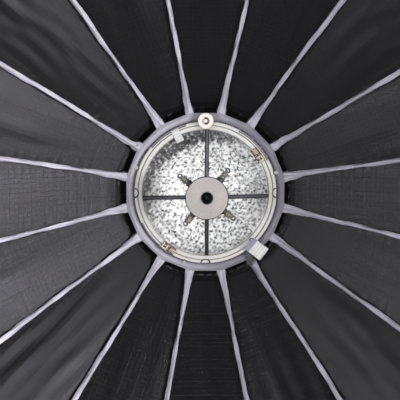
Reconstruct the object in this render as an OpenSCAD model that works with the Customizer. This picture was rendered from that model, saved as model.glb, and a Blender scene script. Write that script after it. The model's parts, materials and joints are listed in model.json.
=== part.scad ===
// Sixteen-rib folding octabox with a light adapter, a smooth reflector bowl and
// a central deflector hub. Millimetres. The optical axis is horizontal: the
// mouth faces -Y, the light goes on the +Y side, +Z is up. The origin is the
// centre of the rear face of the light spigot.

/* [Canopy] */
// Radius from the axis to the rib ends
rim_r = 446; // [400:2:500]
// Angle between the axis and a rib where it leaves its hinge, degrees
root_angle = 54; // [50:1:58]
// Angle between the axis and a rib at its tip, degrees
tip_angle = 27.4; // [25:0.2:31]
// Fabric thickness of the gore solids
fabric_t = 1.2; // [1:0.1:1.6]

/* [Ribs] */
// Radius of the rib rods
rod_r = 2.4; // [2:0.1:2.6]
// Radius of the sewn sleeve around each rod
sleeve_r = 3.5; // [3:0.1:3.8]
// Distance of the rib hinges from the axis
hinge_r = 88; // [87:0.5:90]
// Radius of the hinge pins
pin_r = 1.5; // [1.3:0.05:1.6]

/* [Speed ring] */
// Bore radius of the speed ring
ring_bore_r = 75.4; // [75:0.1:75.6]
// Outer radius of the speed ring wall
ring_r = 82; // [81.5:0.5:82.5]
// Depth of the speed ring along the axis
ring_depth = 15; // [14:0.5:15]

/* [Light adapter] */
// Outer radius of the spigot that the light collar holds
spigot_r = 70; // [69:0.5:70]
// Bore radius of the adapter ring
adapter_bore_r = 67; // [66.9:0.1:67.2]
// Radius of the lamp opening in the reflector bowl
lamp_hole_r = 15; // [12:1:18]

/* [Deflector hub] */
// Radius of the deflector disc
disc_r = 20.7; // [18:0.1:23]
// Bore radius of the accessory socket
socket_r = 4.9; // [4.5:0.1:5.1]
// Radius of the spokes that carry the hub
spoke_r = 2.1; // [1.6:0.1:2.2]
// Radius from the axis where each pull pin's barrel starts
pin_start_r = 14.6; // [14.4:0.1:15]

/* [Hidden] */
// All parts are drawn in the hub frame: z runs forward along the axis from the
// hub plane, y is up. Azimuths run counterclockwise from +X, seen from the front.
// Within one azimuth, x is the radius. Profiles list [radius, height along z].
hub_z = 36;                 // hub plane, in front of the spigot's rear face
ribs = 16;
step_a = 360 / ribs;
half_a = step_a / 2;
quarters = [0:90:270];

// rib arc
hinge_z = -4.5;
arc_r = (rim_r - hinge_r) / (cos(tip_angle) - cos(root_angle));
arc_len = arc_r * (root_angle - tip_angle) * PI / 180;
arc_centre = [hinge_r - arc_r * cos(root_angle), hinge_z + arc_r * sin(root_angle)];

// speed ring and its fasteners
ring_front_z = -1;
lip_r = 74.5;               // inner radius of the speed ring's front lip
stud_az = 90;               // lock knob's stud
stud_r = 78;                // distance of its axis from the optical axis
stud_rod_r = 2;
stud_collar_r = 2.6;
plate_screw_az = [0:60:300]; // rear retainer's screws
plate_r = 77.6;
plate_screw_r = 1.28;
screw_az = [16, 160, 253];  // small binding screws
screw_pitch_r = 76.9;
screw_r = 0.98;
screw_fit = 0.02;           // clearance of both kinds of screw in the ring

// spokes
spoke_top_z = 58;           // also the height of the pull pins
spoke_top_r = 13.5;
foot_z = -2;
foot_r = 69.4;              // inside the adapter's wall
foot_off = [-3.4, -1.8, 5.8, 1.4]; // nominal sideways offset of each spoke's foot
spoke_fit = 0.02;
spoke_run = foot_r - spoke_top_r;
spoke_lean = atan2(spoke_top_z - foot_z, spoke_run);

// deflector hub
hub_r = 14;
hub_bore_r = 5.95;
pull_az = [for (a = quarters) 51.5 + a];
bush_hole_r = 2.4;
pull_rod_r = 1.5;

cast = [0.62, 0.61, 0.66];
tape = [0.66, 0.65, 0.71];
cream = [0.86, 0.85, 0.82];
strap_white = [0.85, 0.85, 0.84];
black = [0.1, 0.1, 0.105];

function two_digits(k) = k < 10 ? str("0", k) : str(k);
function rib_name(k) = str("rib_", two_digits(k));
function gore_name(k) = str("gore_", two_digits(k));
rib_az = [for (k = [1:ribs]) half_a + step_a * (k - 1)];

// ---- placing and shared shapes ----
module hub() { rotate([90, 0, 0]) translate([0, 0, hub_z]) children(); }
module az(a) { rotate([0, 0, a]) children(); }
module around(azimuths) { for (a = azimuths) az(a) children(); }
// cylinder parallel to the axis at radius x, rising from z; $fn comes from the call
module post(r, x, z, h) { translate([x, 0, z]) cylinder(r = r, h = h); }
// ring of revolution between two radii and two heights
module band(r0, r1, z0, z1) {
    translate([0, 0, z0]) difference() {
        cylinder(r = r1, h = z1 - z0, $fn = 120);
        translate([0, 0, -1]) cylinder(r = r0, h = z1 - z0 + 2, $fn = 120);
    }
}
// cylinder on a rib hinge's axis, between two sideways places
module hinge_cyl(r, y0, y1) {
    translate([hinge_r, y1, hinge_z]) rotate([90, 0, 0]) cylinder(r = r, h = y1 - y0, $fn = 40);
}
// cylinder on a pull pin's axis, between two radii
module radial_cyl(r, x0, x1) {
    translate([x0, 0, spoke_top_z]) rotate([0, 90, 0]) cylinder(r = r, h = x1 - x0, $fn = 40);
}
// the four spokes' slanted rods, cut between two radii
module struts(r, x0, x1) {
    for (i = [0:3]) az(90 * i)
        translate([spoke_top_r, 0, spoke_top_z])
            rotate([0, 90 + spoke_lean, atan2(foot_off[i], spoke_run)])
                translate([0, 0, (x0 - spoke_top_r) / cos(spoke_lean)])
                    cylinder(r = r, h = (x1 - x0) / cos(spoke_lean), $fn = 40);
}

// ---- ribs ----
// angle turned along a length s of the rib's arc
function turn(s) = s / arc_r * 180 / PI;
// rib profile: [radius, height] a distance s along the rod, pushed out by d
function rib_point(s, d = 0) = let (slope = root_angle - turn(s))
    arc_centre + (arc_r + d) * [cos(slope), -sin(slope)];

// sweeps a section along the rib's arc, from a turn past the hinge
module along_rib(from, angle) {
    translate([arc_centre[0], 0, arc_centre[1]]) rotate([90, 0, 0])
        rotate_extrude(angle = angle, start = -root_angle + from, $fn = 900)
            translate([arc_r, 0]) children();
}

sleeve_start = 26;          // bare rod at the hinge end
sleeve_stop = 16;           // and at the tip
cap_r = rod_r + 1.9;
cap_top = 1.6;              // centre of the cap's dome, beyond the rod's tip
cap_len = 12;               // cap's reach back over the rod

module rib(k) {
    tip = rib_point(arc_len);
    color(tape) hub() az(rib_az[k - 1]) {
        difference() {
            union() {
                hinge_cyl(4, -2.5, 2.5);
                along_rib(0, root_angle - tip_angle) circle(r = rod_r, $fn = 24);
            }
            hinge_cyl(pin_r + 0.05, -6, 6);
        }
        // sewn sleeve around the rod
        along_rib(turn(sleeve_start), turn(arc_len - sleeve_start - sleeve_stop))
            difference() {
                circle(r = sleeve_r, $fn = 24);
                circle(r = rod_r + 0.15, $fn = 24);
            }
        // domed end cap, a blind socket over the rod's tip
        translate([tip[0], 0, tip[1]]) rotate([0, tip_angle, 0]) difference() {
            union() {
                post(cap_r, 0, -cap_len, cap_len + cap_top, $fn = 32);
                translate([0, 0, cap_top]) sphere(r = cap_r, $fn = 32);
            }
            post(rod_r + 0.25, 0, -cap_len - 1, cap_len + 1.3, $fn = 32);
        }
    }
}

module rib_pivot_pins() {
    head_r = pin_r + 0.8;
    color([0.75, 0.75, 0.77]) hub() around(rib_az) {
        hinge_cyl(pin_r, -4.6, 4.6);
        hinge_cyl(head_r, -5.3, -4.4);
        hinge_cyl(head_r, 4.4, 5.3);
    }
}

// ---- fabric ----
gore_rows = 13;
gore_gap = 4.4;             // clearance between a gore solid and its rib's plane
gore_lift = 3.6;            // fabric's inner face, out from the rod's centreline
gore_start = 6;             // distance of the first row along the rib
gore_stop = 14;             // distance of the last row from the rib's tip

// four corners of the fabric's section at row i
function gore_row(i) = let (
        s = gore_start + (arc_len - gore_start - gore_stop) * i / (gore_rows - 1),
        inner = rib_point(s, gore_lift),
        outer = rib_point(s, gore_lift + fabric_t),
        half_w = inner[0] * sin(half_a) - gore_gap,
        inner_x = inner[0] * cos(half_a),
        outer_x = outer[0] * cos(half_a))
    [[inner_x, -half_w, inner[1]], [inner_x, half_w, inner[1]],
     [outer_x, half_w, outer[1]], [outer_x, -half_w, outer[1]]];

module gore(k) {
    points = [for (i = [0:gore_rows - 1]) each gore_row(i)];
    last = 4 * (gore_rows - 1);
    // end faces, and two triangles on each side between rows
    faces = concat(
        [[0, 1, 2, 3]],
        [for (i = [0:gore_rows - 2]) for (j = [0:3])
            let (corner = 4 * i + j, next = 4 * i + (j + 1) % 4)
            each [[corner, corner + 4, next + 4], [corner, next + 4, next]]],
        [[last + 3, last + 2, last + 1, last]]);
    color(black) hub() az(step_a * k)
        polyhedron(points = points, faces = faces, convexity = 4);
}

module throat_binding() {
    color(tape) hub() difference() {
        rotate_extrude($fn = 120) polygon([[76, -0.9], [82.4, -0.9], [82.4, 0.1],
            [81.5, 0.9], [79.2, 1.3], [77, 0.9], [76, 0.2]]);
        az(stud_az) post(stud_collar_r + 0.1, stud_r, -2, 5, $fn = 32);
        around(screw_az) post(1.1, screw_pitch_r, -2, 5, $fn = 24);
    }
}

module throat_skirt() {
    color(black) hub() rotate_extrude($fn = 120) polygon([
        [82.3, -15], [88, -14.6], [96, -12], [103, -6.5], [108, 0.6],
        [109.2, 0], [104, -7.4], [96.6, -13.2], [88.2, -15.9], [82.3, -16.2]]);
}

// L-shaped strap at the lower right, seen from the front
module strap_tab() {
    width = 15.2;
    color(strap_white) hub() translate([61.3, -64.5, 0]) rotate([0, 0, -38]) {
        translate([-23, -width / 2, 9.9]) cube([23.9, width, 1.7]);
        translate([-0.95, -width / 2, -14.9]) cube([1.9, width, 26.5]);
    }
}

// short strap hooked over the adapter's rim
module strap_loop() {
    width = 8.4;
    color(strap_white) hub() az(116) {
        translate([59.5, -width / 2, 5.6]) cube([13.9, width, 1.2]);
        translate([72.25, -width / 2, 1.4]) cube([1.15, width, 5.4]);
    }
}

// ---- speed ring ----
ear_w = 1.7;
ear_y = 2.65;               // inner face of each hinge ear, off the rib's plane
ear_root_r = 80;

module ear(y0) {
    translate([0, y0 + ear_w, 0]) rotate([90, 0, 0]) linear_extrude(ear_w) union() {
        translate([hinge_r, hinge_z]) circle(r = 4.6, $fn = 40);
        translate([ear_root_r, -12]) square([hinge_r - ear_root_r, 10.9]);
    }
}

module speed_ring() {
    color(cast) hub() difference() {
        union() {
            band(ring_bore_r, ring_r, ring_front_z - ring_depth, -2.4);
            band(lip_r, ring_r, -2.5, ring_front_z);
            around(rib_az) {
                ear(ear_y);
                ear(-ear_y - ear_w);
            }
        }
        around(rib_az) hinge_cyl(pin_r + 0.02, -8, 8);
        az(stud_az) post(stud_rod_r + 0.1, stud_r, -11, 20, $fn = 32);
        around(screw_az) post(screw_r + screw_fit, screw_pitch_r, -8, 20, $fn = 24);
        around(plate_screw_az) post(plate_screw_r + screw_fit, plate_r, -17, 9, $fn = 24);
    }
}

module rear_retainer() {
    color([0.2, 0.2, 0.21]) hub() difference() {
        band(spigot_r + 0.3, 80.5, -19.2, -16.1);
        around(plate_screw_az) {
            post(1.5, plate_r, -22, 9, $fn = 24);
            post(2.7, plate_r, -20, 2.4, $fn = 24); // counterbore
        }
    }
}

// screws with a hexagon socket in the rear face
module retainer_screws() {
    color([0.78, 0.78, 0.8]) hub() around(plate_screw_az) difference() {
        union() {
            post(plate_screw_r, plate_r, -18, 9, $fn = 24);
            post(2.5, plate_r, -19.4, 1.8, $fn = 24);
        }
        translate([plate_r, 0, -19.6]) rotate([0, 0, 20]) cylinder(r = 1.3, h = 1.3, $fn = 6);
    }
}

// slotted screws through the binding
module ring_screws() {
    slot_w = 0.5;
    color([0.8, 0.8, 0.8]) hub() around(screw_az) difference() {
        union() {
            post(screw_r, screw_pitch_r, -7, 9, $fn = 24);
            post(1.9, screw_pitch_r, 1.5, 1.2, $fn = 32);
        }
        translate([screw_pitch_r - slot_w / 2, -2.5, 2.2]) cube([slot_w, 5, 1]);
    }
}

module lock_knob() {
    head_x = stud_r - 3.3;  // the head is eccentric, towards the optical axis
    head_r = 8.2;
    color([0.9, 0.89, 0.86]) hub() az(stud_az) difference() {
        union() {
            post(stud_rod_r, stud_r, -10, 13, $fn = 32);
            post(stud_collar_r, stud_r, 2.9, 6.6, $fn = 32);
            post(head_r, head_x, 9.3, 2.2, $fn = 60);
            translate([head_x, 0, 11.45]) cylinder(r1 = head_r, r2 = 7.4, h = 0.8, $fn = 60);
        }
        // ring recess with a hole above and below its centre
        translate([head_x, 0, 11.2]) difference() {
            cylinder(r = 3.9, h = 3, $fn = 40);
            translate([0, 0, -1]) cylinder(r = 1.7, h = 5, $fn = 30);
        }
        for (side = [-1, 1]) post(1.1, head_x + 2.8 * side, 9.7, 3, $fn = 24);
    }
}

// two flat washers around the knob's stud
module lock_spring() {
    color([0.6, 0.6, 0.62]) hub() az(stud_az) translate([stud_r, 0, 0])
        for (i = [0:1]) translate([0, 0, 1.35 + 0.7 * i]) difference() {
            cylinder(r = 3.3, h = 0.45, $fn = 36);
            translate([0, 0, -1]) cylinder(r = stud_rod_r + 0.2, h = 3, $fn = 36);
        }
}

// ---- light adapter ----
// long shallow reliefs in the front rim: [azimuth, span, inner radius]
rim_reliefs = [[28, 34, 72.2], [106, 34, 72.2], [205, 24, 72.6]];

module adapter_ring() {
    wall_r = ring_bore_r - 0.1;
    rim_wall_r = lip_r - 0.25;
    color(cream) hub() difference() {
        union() {
            rotate_extrude($fn = 120) polygon([
                [adapter_bore_r, -15.8], [wall_r, -15.8], [wall_r, -2.7],
                [rim_wall_r, -2.7], [rim_wall_r, 4.9], [73.7, 5.5], [71.2, 5.5],
                [71, 3.3], [70.1, 3.3], [69.9, 5.5], [66.9, 5.5], [66.2, 5], [66.2, 3.7],
                [adapter_bore_r, 3.5]]);
            band(adapter_bore_r, spigot_r, -hub_z, -19.6);
            band(adapter_bore_r, spigot_r - 1.2, -19.7, -15.7);
        }
        for (relief = rim_reliefs) az(relief[0])
            rotate_extrude(angle = relief[1], $fn = 120)
                translate([relief[2], 1.2]) square([4, 8]);
        struts(spoke_r + spoke_fit, 60, foot_r + 0.1);
        // half-round pockets in the rim, each with a deeper groove round its edge
        around(quarters) translate([75.3, 0, 0]) {
            post(5.5, 0, 2.4, 8, $fn = 48);
            translate([0, 0, -1.6]) difference() {
                cylinder(r = 5.6, h = 8, $fn = 48);
                translate([0, 0, -1]) cylinder(r = 4.4, h = 12, $fn = 48);
            }
        }
        // small notches that clear the binding screws' heads
        around(screw_az) post(3.1, 76.4, 0.4, 8, $fn = 32);
        // notches in the bore at the spigot's rear end
        around([60:120:300]) translate([64, -5, -hub_z - 1]) cube([5, 10, 9]);
    }
}

bowl_r = 66.7;
bowl_depth = 31;
bowl_t = 0.9;
bowl_rim_z = 2.6;
bowl_steps = 20;
bowl_sphere_r = (bowl_r * bowl_r + bowl_depth * bowl_depth) / (2 * bowl_depth);
// point of the bowl's profile at radius r, pushed out by d from the sphere's centre
function bowl_point(r, d) = let (grow = 1 + d / bowl_sphere_r) [
    r * grow,
    bowl_rim_z - bowl_depth + bowl_sphere_r
        - sqrt(bowl_sphere_r * bowl_sphere_r - r * r) * grow];

module reflector_bowl() {
    radii = [for (i = [0:bowl_steps])
        lamp_hole_r + (bowl_r - 1.2 - lamp_hole_r) * i / bowl_steps];
    color([0.85, 0.85, 0.86]) hub() difference() {
        rotate_extrude($fn = 120) polygon(concat(
            [for (r = radii) bowl_point(r, 0)],
            [[bowl_r, 3.2], [bowl_r, 1.9]],
            [for (i = [bowl_steps:-1:0]) bowl_point(radii[i], bowl_t)]));
        struts(spoke_r + 0.3, 56, foot_r + 2);
    }
}

// plates over the bowl's edge, each with a round button and a slotted block
clip_places = [[36, 1.4], [236, 2.8]]; // [azimuth, outward shift]

module bowl_clips() {
    button_x = 65;
    button_y = -4.6;
    color([0.72, 0.62, 0.48]) hub() for (place = clip_places)
        az(place[0]) translate([place[1], 0, 0]) {
            difference() {
                translate([60.6, -8, 5.6]) cube([8.6, 16, 0.8]);
                translate([button_x, button_y, 4]) cylinder(r = 1.3, h = 5, $fn = 24);
            }
            translate([button_x, button_y, 6.2]) cylinder(r = 2.7, h = 1.75, $fn = 36);
            difference() {
                translate([61.6, 1.2, 6.2]) cube([6.6, 5.8, 2.65]);
                translate([60, 2.2, 7.2]) cube([10, 3.8, 0.9]);
            }
        }
}

module deflector_spokes() {
    color([0.3, 0.3, 0.33]) hub() struts(spoke_r, 9.4, foot_r);
}

// ---- deflector hub ----
module hub_body() {
    rear_z = spoke_top_z - 11;
    taper_h = 1.6;
    color([0.45, 0.45, 0.46]) hub() difference() {
        union() {
            translate([0, 0, rear_z]) cylinder(r1 = 12.4, r2 = hub_r, h = taper_h, $fn = 72);
            post(hub_r, 0, rear_z + taper_h, 18.3, $fn = 72);
        }
        post(hub_bore_r, 0, spoke_top_z - 6.4, 30, $fn = 60);
        struts(spoke_r + spoke_fit, 9.2, 30);
        around(pull_az) radial_cyl(bush_hole_r, 7.6, 20);
    }
}

module deflector_disc() {
    color([0.72, 0.7, 0.69]) hub() translate([0, 0, spoke_top_z + 9])
        rotate_extrude($fn = 120) polygon([
            [hub_bore_r, 0], [disc_r - 0.5, 0], [disc_r, 0.5],
            [disc_r, 2.3], [disc_r - 0.7, 3], [6.4, 3], [hub_bore_r, 2.6]]);
}

module socket_insert() {
    color([0.06, 0.06, 0.065]) hub()
        band(socket_r, hub_bore_r - 0.05, spoke_top_z - 6.3, spoke_top_z + 11.5);
}

module pull_pin_bushes() {
    color([0.5, 0.48, 0.44]) hub() around(pull_az) difference() {
        radial_cyl(bush_hole_r - 0.02, 7.8, 13.9);
        radial_cyl(pull_rod_r + 0.05, 7, 15);
    }
}

// rod, barrel and ribbed grip, with a ring at the outer end
module pull_pin(i) {
    color([0.36, 0.33, 0.3]) hub() az(pull_az[i - 1]) {
        union() {
            radial_cyl(pull_rod_r, 8.4, pin_start_r + 17.4);
            radial_cyl(3.4, pin_start_r, pin_start_r + 8.4);
            radial_cyl(2.7, pin_start_r + 8.2, pin_start_r + 15);
            for (x = [for (j = [0:2]) pin_start_r + 9.3 + 2.4 * j]) radial_cyl(3.3, x, x + 1.6);
        }
        translate([pin_start_r + 19.6, 0, spoke_top_z]) rotate_extrude($fn = 60)
            translate([2.1, 0]) circle(r = 0.75, $fn = 24);
    }
}

for (k = [1:ribs]) rib(k);
for (k = [1:ribs]) gore(k);
speed_ring();
throat_binding();
throat_skirt();
rib_pivot_pins();
rear_retainer();
retainer_screws();
ring_screws();
strap_tab();
strap_loop();
lock_knob();
lock_spring();
adapter_ring();
reflector_bowl();
bowl_clips();
deflector_spokes();
hub_body();
deflector_disc();
socket_insert();
pull_pin(1);  // pull_pin_1
pull_pin(2);  // pull_pin_2
pull_pin(3);  // pull_pin_3
pull_pin(4);  // pull_pin_4
pull_pin_bushes();
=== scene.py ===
# A folding softbox with sixteen ribs: cloth canopy, ribs in sleeves, throat ring, reflector bowl,
# pull pins, bowl clips and straps.
# Shapes are worked out in the hub frame, in mm: x right, y up, z forward to the open mouth.
# to_row() turns them into the row frame, in metres, where the mouth faces -Y and +Z is up.
import json
import math

import bmesh
import bpy
import numpy as np
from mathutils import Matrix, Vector


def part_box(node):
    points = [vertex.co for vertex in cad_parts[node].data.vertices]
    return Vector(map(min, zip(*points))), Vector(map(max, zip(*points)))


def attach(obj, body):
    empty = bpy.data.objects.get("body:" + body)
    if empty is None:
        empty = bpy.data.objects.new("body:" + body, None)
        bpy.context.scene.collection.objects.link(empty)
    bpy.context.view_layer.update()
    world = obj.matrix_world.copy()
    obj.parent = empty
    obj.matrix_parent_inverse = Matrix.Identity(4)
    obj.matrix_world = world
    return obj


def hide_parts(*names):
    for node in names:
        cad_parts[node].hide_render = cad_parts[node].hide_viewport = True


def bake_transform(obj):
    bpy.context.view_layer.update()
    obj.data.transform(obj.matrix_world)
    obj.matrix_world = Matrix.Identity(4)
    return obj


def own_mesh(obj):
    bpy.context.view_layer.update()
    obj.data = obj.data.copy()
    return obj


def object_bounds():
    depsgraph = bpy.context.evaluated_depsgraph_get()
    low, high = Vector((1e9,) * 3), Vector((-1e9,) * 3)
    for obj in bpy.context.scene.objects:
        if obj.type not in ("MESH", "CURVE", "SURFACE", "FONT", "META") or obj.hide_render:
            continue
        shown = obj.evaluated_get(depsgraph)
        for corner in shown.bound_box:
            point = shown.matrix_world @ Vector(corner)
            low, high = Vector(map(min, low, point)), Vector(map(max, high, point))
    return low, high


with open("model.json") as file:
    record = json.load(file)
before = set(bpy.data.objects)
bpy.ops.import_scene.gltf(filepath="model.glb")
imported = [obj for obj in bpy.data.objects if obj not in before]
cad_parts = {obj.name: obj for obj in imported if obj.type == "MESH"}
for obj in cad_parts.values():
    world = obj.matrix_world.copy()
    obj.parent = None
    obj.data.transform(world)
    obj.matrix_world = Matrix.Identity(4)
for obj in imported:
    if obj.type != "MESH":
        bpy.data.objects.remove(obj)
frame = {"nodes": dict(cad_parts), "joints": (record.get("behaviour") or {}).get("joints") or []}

CAD_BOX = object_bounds()

# ---------------------------------------------------------------- driving dimensions
RIBS = 16
STEP = 2 * math.pi / RIBS
HALF_STEP = STEP / 2
OPEN_RIB, KNUCKLE_RIB = 14, 7                 # ribs whose cuff stands open, and has a lump

hinge = {joint["name"]: joint for joint in frame["joints"]}["canopy_fold"]["pos_m"]
HINGE_RADIUS = 1000 * math.hypot(hinge[0], hinge[2])
HINGE_Z = -4.5
HUB_DEPTH = -1000 * hinge[1] - HINGE_Z        # hub plane behind the row's origin
SHADER_HUB_DEPTH = 36.0                       # the same depth as the materials take it

# each rib is an arc whose slope falls from the hinge to the mouth
ROOT_DEGREES, TIP_DEGREES = 54.0, 27.4
ROOT_SLOPE = math.radians(ROOT_DEGREES)
RIM_RADIUS = 446.0
ARC_RADIUS = (RIM_RADIUS - HINGE_RADIUS) / (math.cos(math.radians(TIP_DEGREES)) - math.cos(ROOT_SLOPE))
ARC_LENGTH = ARC_RADIUS * math.radians(ROOT_DEGREES - TIP_DEGREES)
CLOTH_START, CLOTH_END = 2.4, ARC_LENGTH - 3.0

LINER_GAP = 3.4                               # the lining's distance outside the rods
CLOTH = 0.75                                  # canopy thickness
FOLD_DEGREES = 40.0
KEEP = 0.12                                   # share of a gore's width left when folded
ROD_RADIUS = 1.9

BINDING_INNER = 76.1
DISC_FRONT = -1000 * float(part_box("deflector_disc")[0][1]) - HUB_DEPTH
PIN_Z = DISC_FRONT - 12.0

FORWARD = np.array([0, 0, 1.0])
CYCLE = 6.283                                 # one turn of the cloth's sine waves
PHASE_MAX = 6.28                              # upper bound of random phases


# ---------------------------------------------------------------- frames and curves
def to_row(points):
    points = np.asarray(points, float)
    return np.stack([points[..., 0], -(points[..., 2] + HUB_DEPTH), points[..., 1]], -1) / 1000


def arc_point(along, outside=0.0):
    """Radius and z at a distance along a rib's arc, and a distance outside it."""
    slope = ROOT_SLOPE - np.asarray(along, float) / ARC_RADIUS
    radius = HINGE_RADIUS + ARC_RADIUS * (np.cos(slope) - math.cos(ROOT_SLOPE)) + outside * np.cos(slope)
    z = HINGE_Z + ARC_RADIUS * (math.sin(ROOT_SLOPE) - np.sin(slope)) - outside * np.sin(slope)
    return radius, z


def rib_angle(rib):
    return HALF_STEP + STEP * (rib - 1)


def axes_at(angle):
    """Unit vectors outward and counterclockwise at an angle about the hub."""
    outward = np.array([math.cos(angle), math.sin(angle), 0])
    return outward, np.array([-math.sin(angle), math.cos(angle), 0])


def in_plane(outward, radius, z):
    """Points or vectors in the plane of outward and the hub axis."""
    return np.multiply.outer(radius, outward) + np.multiply.outer(z, FORWARD)


def circle(count):
    return np.linspace(0, 2 * math.pi, count, endpoint=False)


def smooth(value, start, end):
    share = np.clip((np.asarray(value, float) - start) / (end - start), 0, 1)
    return share * share * (3 - 2 * share)


def bell(value, center, width):
    return np.exp(-((value - center) / width) ** 2)


def lookup(value, table):
    """Straight-line reading of a table of (station, value)."""
    stations, values = zip(*table)
    return np.interp(value, stations, values)


def relax(values):
    """Rounds off the corners of a polyline, in place."""
    for _ in range(3):
        values[1:-1] = (values[:-2] + 2 * values[1:-1] + values[2:]) / 4


def course_axes(radius, z):
    """Tangents and left-hand normals of a (radius, z) line."""
    tangent = np.stack([np.gradient(radius), np.gradient(z)], -1)
    tangent /= np.linalg.norm(tangent, axis=1, keepdims=True)
    return tangent, np.stack([-tangent[:, 1], tangent[:, 0]], -1)


# ---------------------------------------------------------------- mesh helpers
def make(name, verts, faces, materials, face_materials=None, uv=None, normals=None):
    """An object from hub-frame vertices; uv and normals are per vertex."""
    mesh = bpy.data.meshes.new(name)
    mesh.from_pydata(to_row(verts).tolist(), [], [list(map(int, face)) for face in faces])
    for material in materials:
        mesh.materials.append(material)
    if face_materials is not None:
        mesh.polygons.foreach_set("material_index", np.asarray(face_materials, np.int32))
    mesh.polygons.foreach_set("use_smooth", [True] * len(mesh.polygons))
    if uv is not None:
        layer = mesh.uv_layers.new(name="UVMap")
        corners = np.zeros(len(mesh.loops), np.int32)
        mesh.loops.foreach_get("vertex_index", corners)
        layer.data.foreach_set("uv", np.asarray(uv, np.float32)[corners].ravel())
    mesh.update()
    mesh.validate()
    if normals is not None:
        normals = np.asarray(normals, float)
        normals = np.stack([normals[:, 0], -normals[:, 2], normals[:, 1]], -1)
        normals /= np.maximum(np.linalg.norm(normals, axis=1, keepdims=True), 1e-9)
        mesh.normals_split_custom_set_from_vertices(normals.tolist())
    return link(name, mesh)


def link(name, data):
    piece = bpy.data.objects.new(name, data)
    bpy.context.scene.collection.objects.link(piece)
    return piece


def point_attribute(piece, name, values):
    """Writes values to the first vertices and 0 to the rest."""
    full = np.zeros(len(piece.data.vertices), np.float32)
    full[:values.size] = values.ravel()
    attribute = piece.data.attributes.new(name, "FLOAT", "POINT")
    attribute.data.foreach_set("value", full)


def grid_faces(rows, cols, base=0, flip=False, wrap=False):
    faces = []
    for i in range(rows - 1):
        for j in range(cols if wrap else cols - 1):
            a = base + i * cols + j
            b = base + i * cols + (j + 1) % cols
            c, d = b + cols, a + cols
            faces.append((a, d, c, b) if flip else (a, b, c, d))
    return faces


def paired(across, along):
    """UVs from two grids or columns that broadcast against each other."""
    return np.stack(np.broadcast_arrays(across, along), -1)


def shell(name, skins, uv, materials, normals=None, flip=False):
    """Two grids (rows, cols, 3), inner and outer, joined round their border.

    Material slots are inner, outer and border. Both grids of normals point inward.
    flip reverses the columns.
    """
    if flip:
        skins = [skin[:, ::-1] for skin in skins]
        uv = uv[:, ::-1]
    rows, cols = skins[0].shape[:2]
    count = rows * cols
    faces = grid_faces(rows, cols) + grid_faces(rows, cols, base=count, flip=True)
    last_slot = len(materials) - 1
    half = len(faces) // 2
    slots = [0] * half + [min(1, last_slot)] * half
    borders = ((range(cols), False), (range(count - cols, count), True),
               (range(0, count, cols), True), (range(cols - 1, count, cols), False))
    for border, turned in borders:
        for a, b in zip(border[:-1], border[1:]):
            quad = (a, b, b + count, a + count) if turned else (b, a, a + count, b + count)
            faces.append(quad)
            slots.append(min(2, last_slot))
    if normals is not None:
        inner, outer = [grid[:, ::-1] if flip else grid for grid in normals]
        normals = np.concatenate([inner.reshape(-1, 3), -outer.reshape(-1, 3)])
    verts = np.concatenate([skin.reshape(-1, 3) for skin in skins])
    return make(name, verts, faces, materials, slots, np.concatenate([uv.reshape(-1, 2)] * 2), normals)


def assemble(name, materials, parts):
    """One object from [(material slot, (verts, faces, uv))]."""
    verts, faces, slots, uvs, base = [], [], [], [], 0
    for slot, (part_verts, part_faces, part_uv) in parts:
        verts.append(part_verts)
        uvs.append(part_uv)
        faces += [tuple(i + base for i in face) for face in part_faces]
        slots += [slot] * len(part_faces)
        base += len(part_verts)
    return make(name, np.concatenate(verts), faces, materials, slots, np.concatenate(uvs))


def lathe(profile, segments, origin=(0, 0, 0), axis=(0, 0, 1), closed=False, bump=None, cap=False):
    """Turns (radius, height) points about an axis.

    bump(radius, angle, height) gives a change of radius.
    """
    axis = Vector(axis).normalized()
    side = axis.orthogonal().normalized()
    third = axis.cross(side)
    profile = np.asarray(profile, float)
    rows = len(profile)
    radius, angle = np.meshgrid(profile[:, 0], circle(segments), indexing="ij")
    height = np.repeat(profile[:, 1][:, None], segments, 1)
    if bump is not None:
        radius = radius + bump(radius, angle, height)
    ray = np.cos(angle)[..., None] * np.array(side) + np.sin(angle)[..., None] * np.array(third)
    verts = np.array(origin, float) + radius[..., None] * ray + height[..., None] * np.array(axis)
    faces = grid_faces(rows, segments, wrap=True)
    last = (rows - 1) * segments
    if closed:
        faces += [(last + j, last + (j + 1) % segments, (j + 1) % segments, j) for j in range(segments)]
    if cap:
        faces.append(tuple(range(segments))[::-1])
        faces.append(tuple(range(last, last + segments)))
    uv = np.stack([angle * np.maximum(profile[:, 0].max(), 1), height], -1)
    return verts.reshape(-1, 3), faces, uv.reshape(-1, 2)


def tube(path, radius, segments, up):
    """A round tube with closed ends along a path; up is any direction off the path."""
    path = np.asarray(path, float)
    tangent = np.gradient(path, axis=0)
    tangent /= np.linalg.norm(tangent, axis=1, keepdims=True)
    side = np.cross(tangent, np.array(up, float))
    side /= np.linalg.norm(side, axis=1, keepdims=True)
    third = np.cross(tangent, side)
    angle = circle(segments)
    ray = (np.cos(angle)[None, :, None] * side[:, None]
           + np.sin(angle)[None, :, None] * third[:, None])
    verts = path[:, None] + radius * ray
    faces = grid_faces(len(path), segments, wrap=True, flip=True)
    last = (len(path) - 1) * segments
    faces.append(tuple(range(segments)))
    faces.append(tuple(range(last, last + segments))[::-1])
    run = np.concatenate([[0], np.cumsum(np.linalg.norm(np.diff(path, axis=0), axis=1))])
    return verts.reshape(-1, 3), faces, paired(angle * radius, run[:, None]).reshape(-1, 2)


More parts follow.
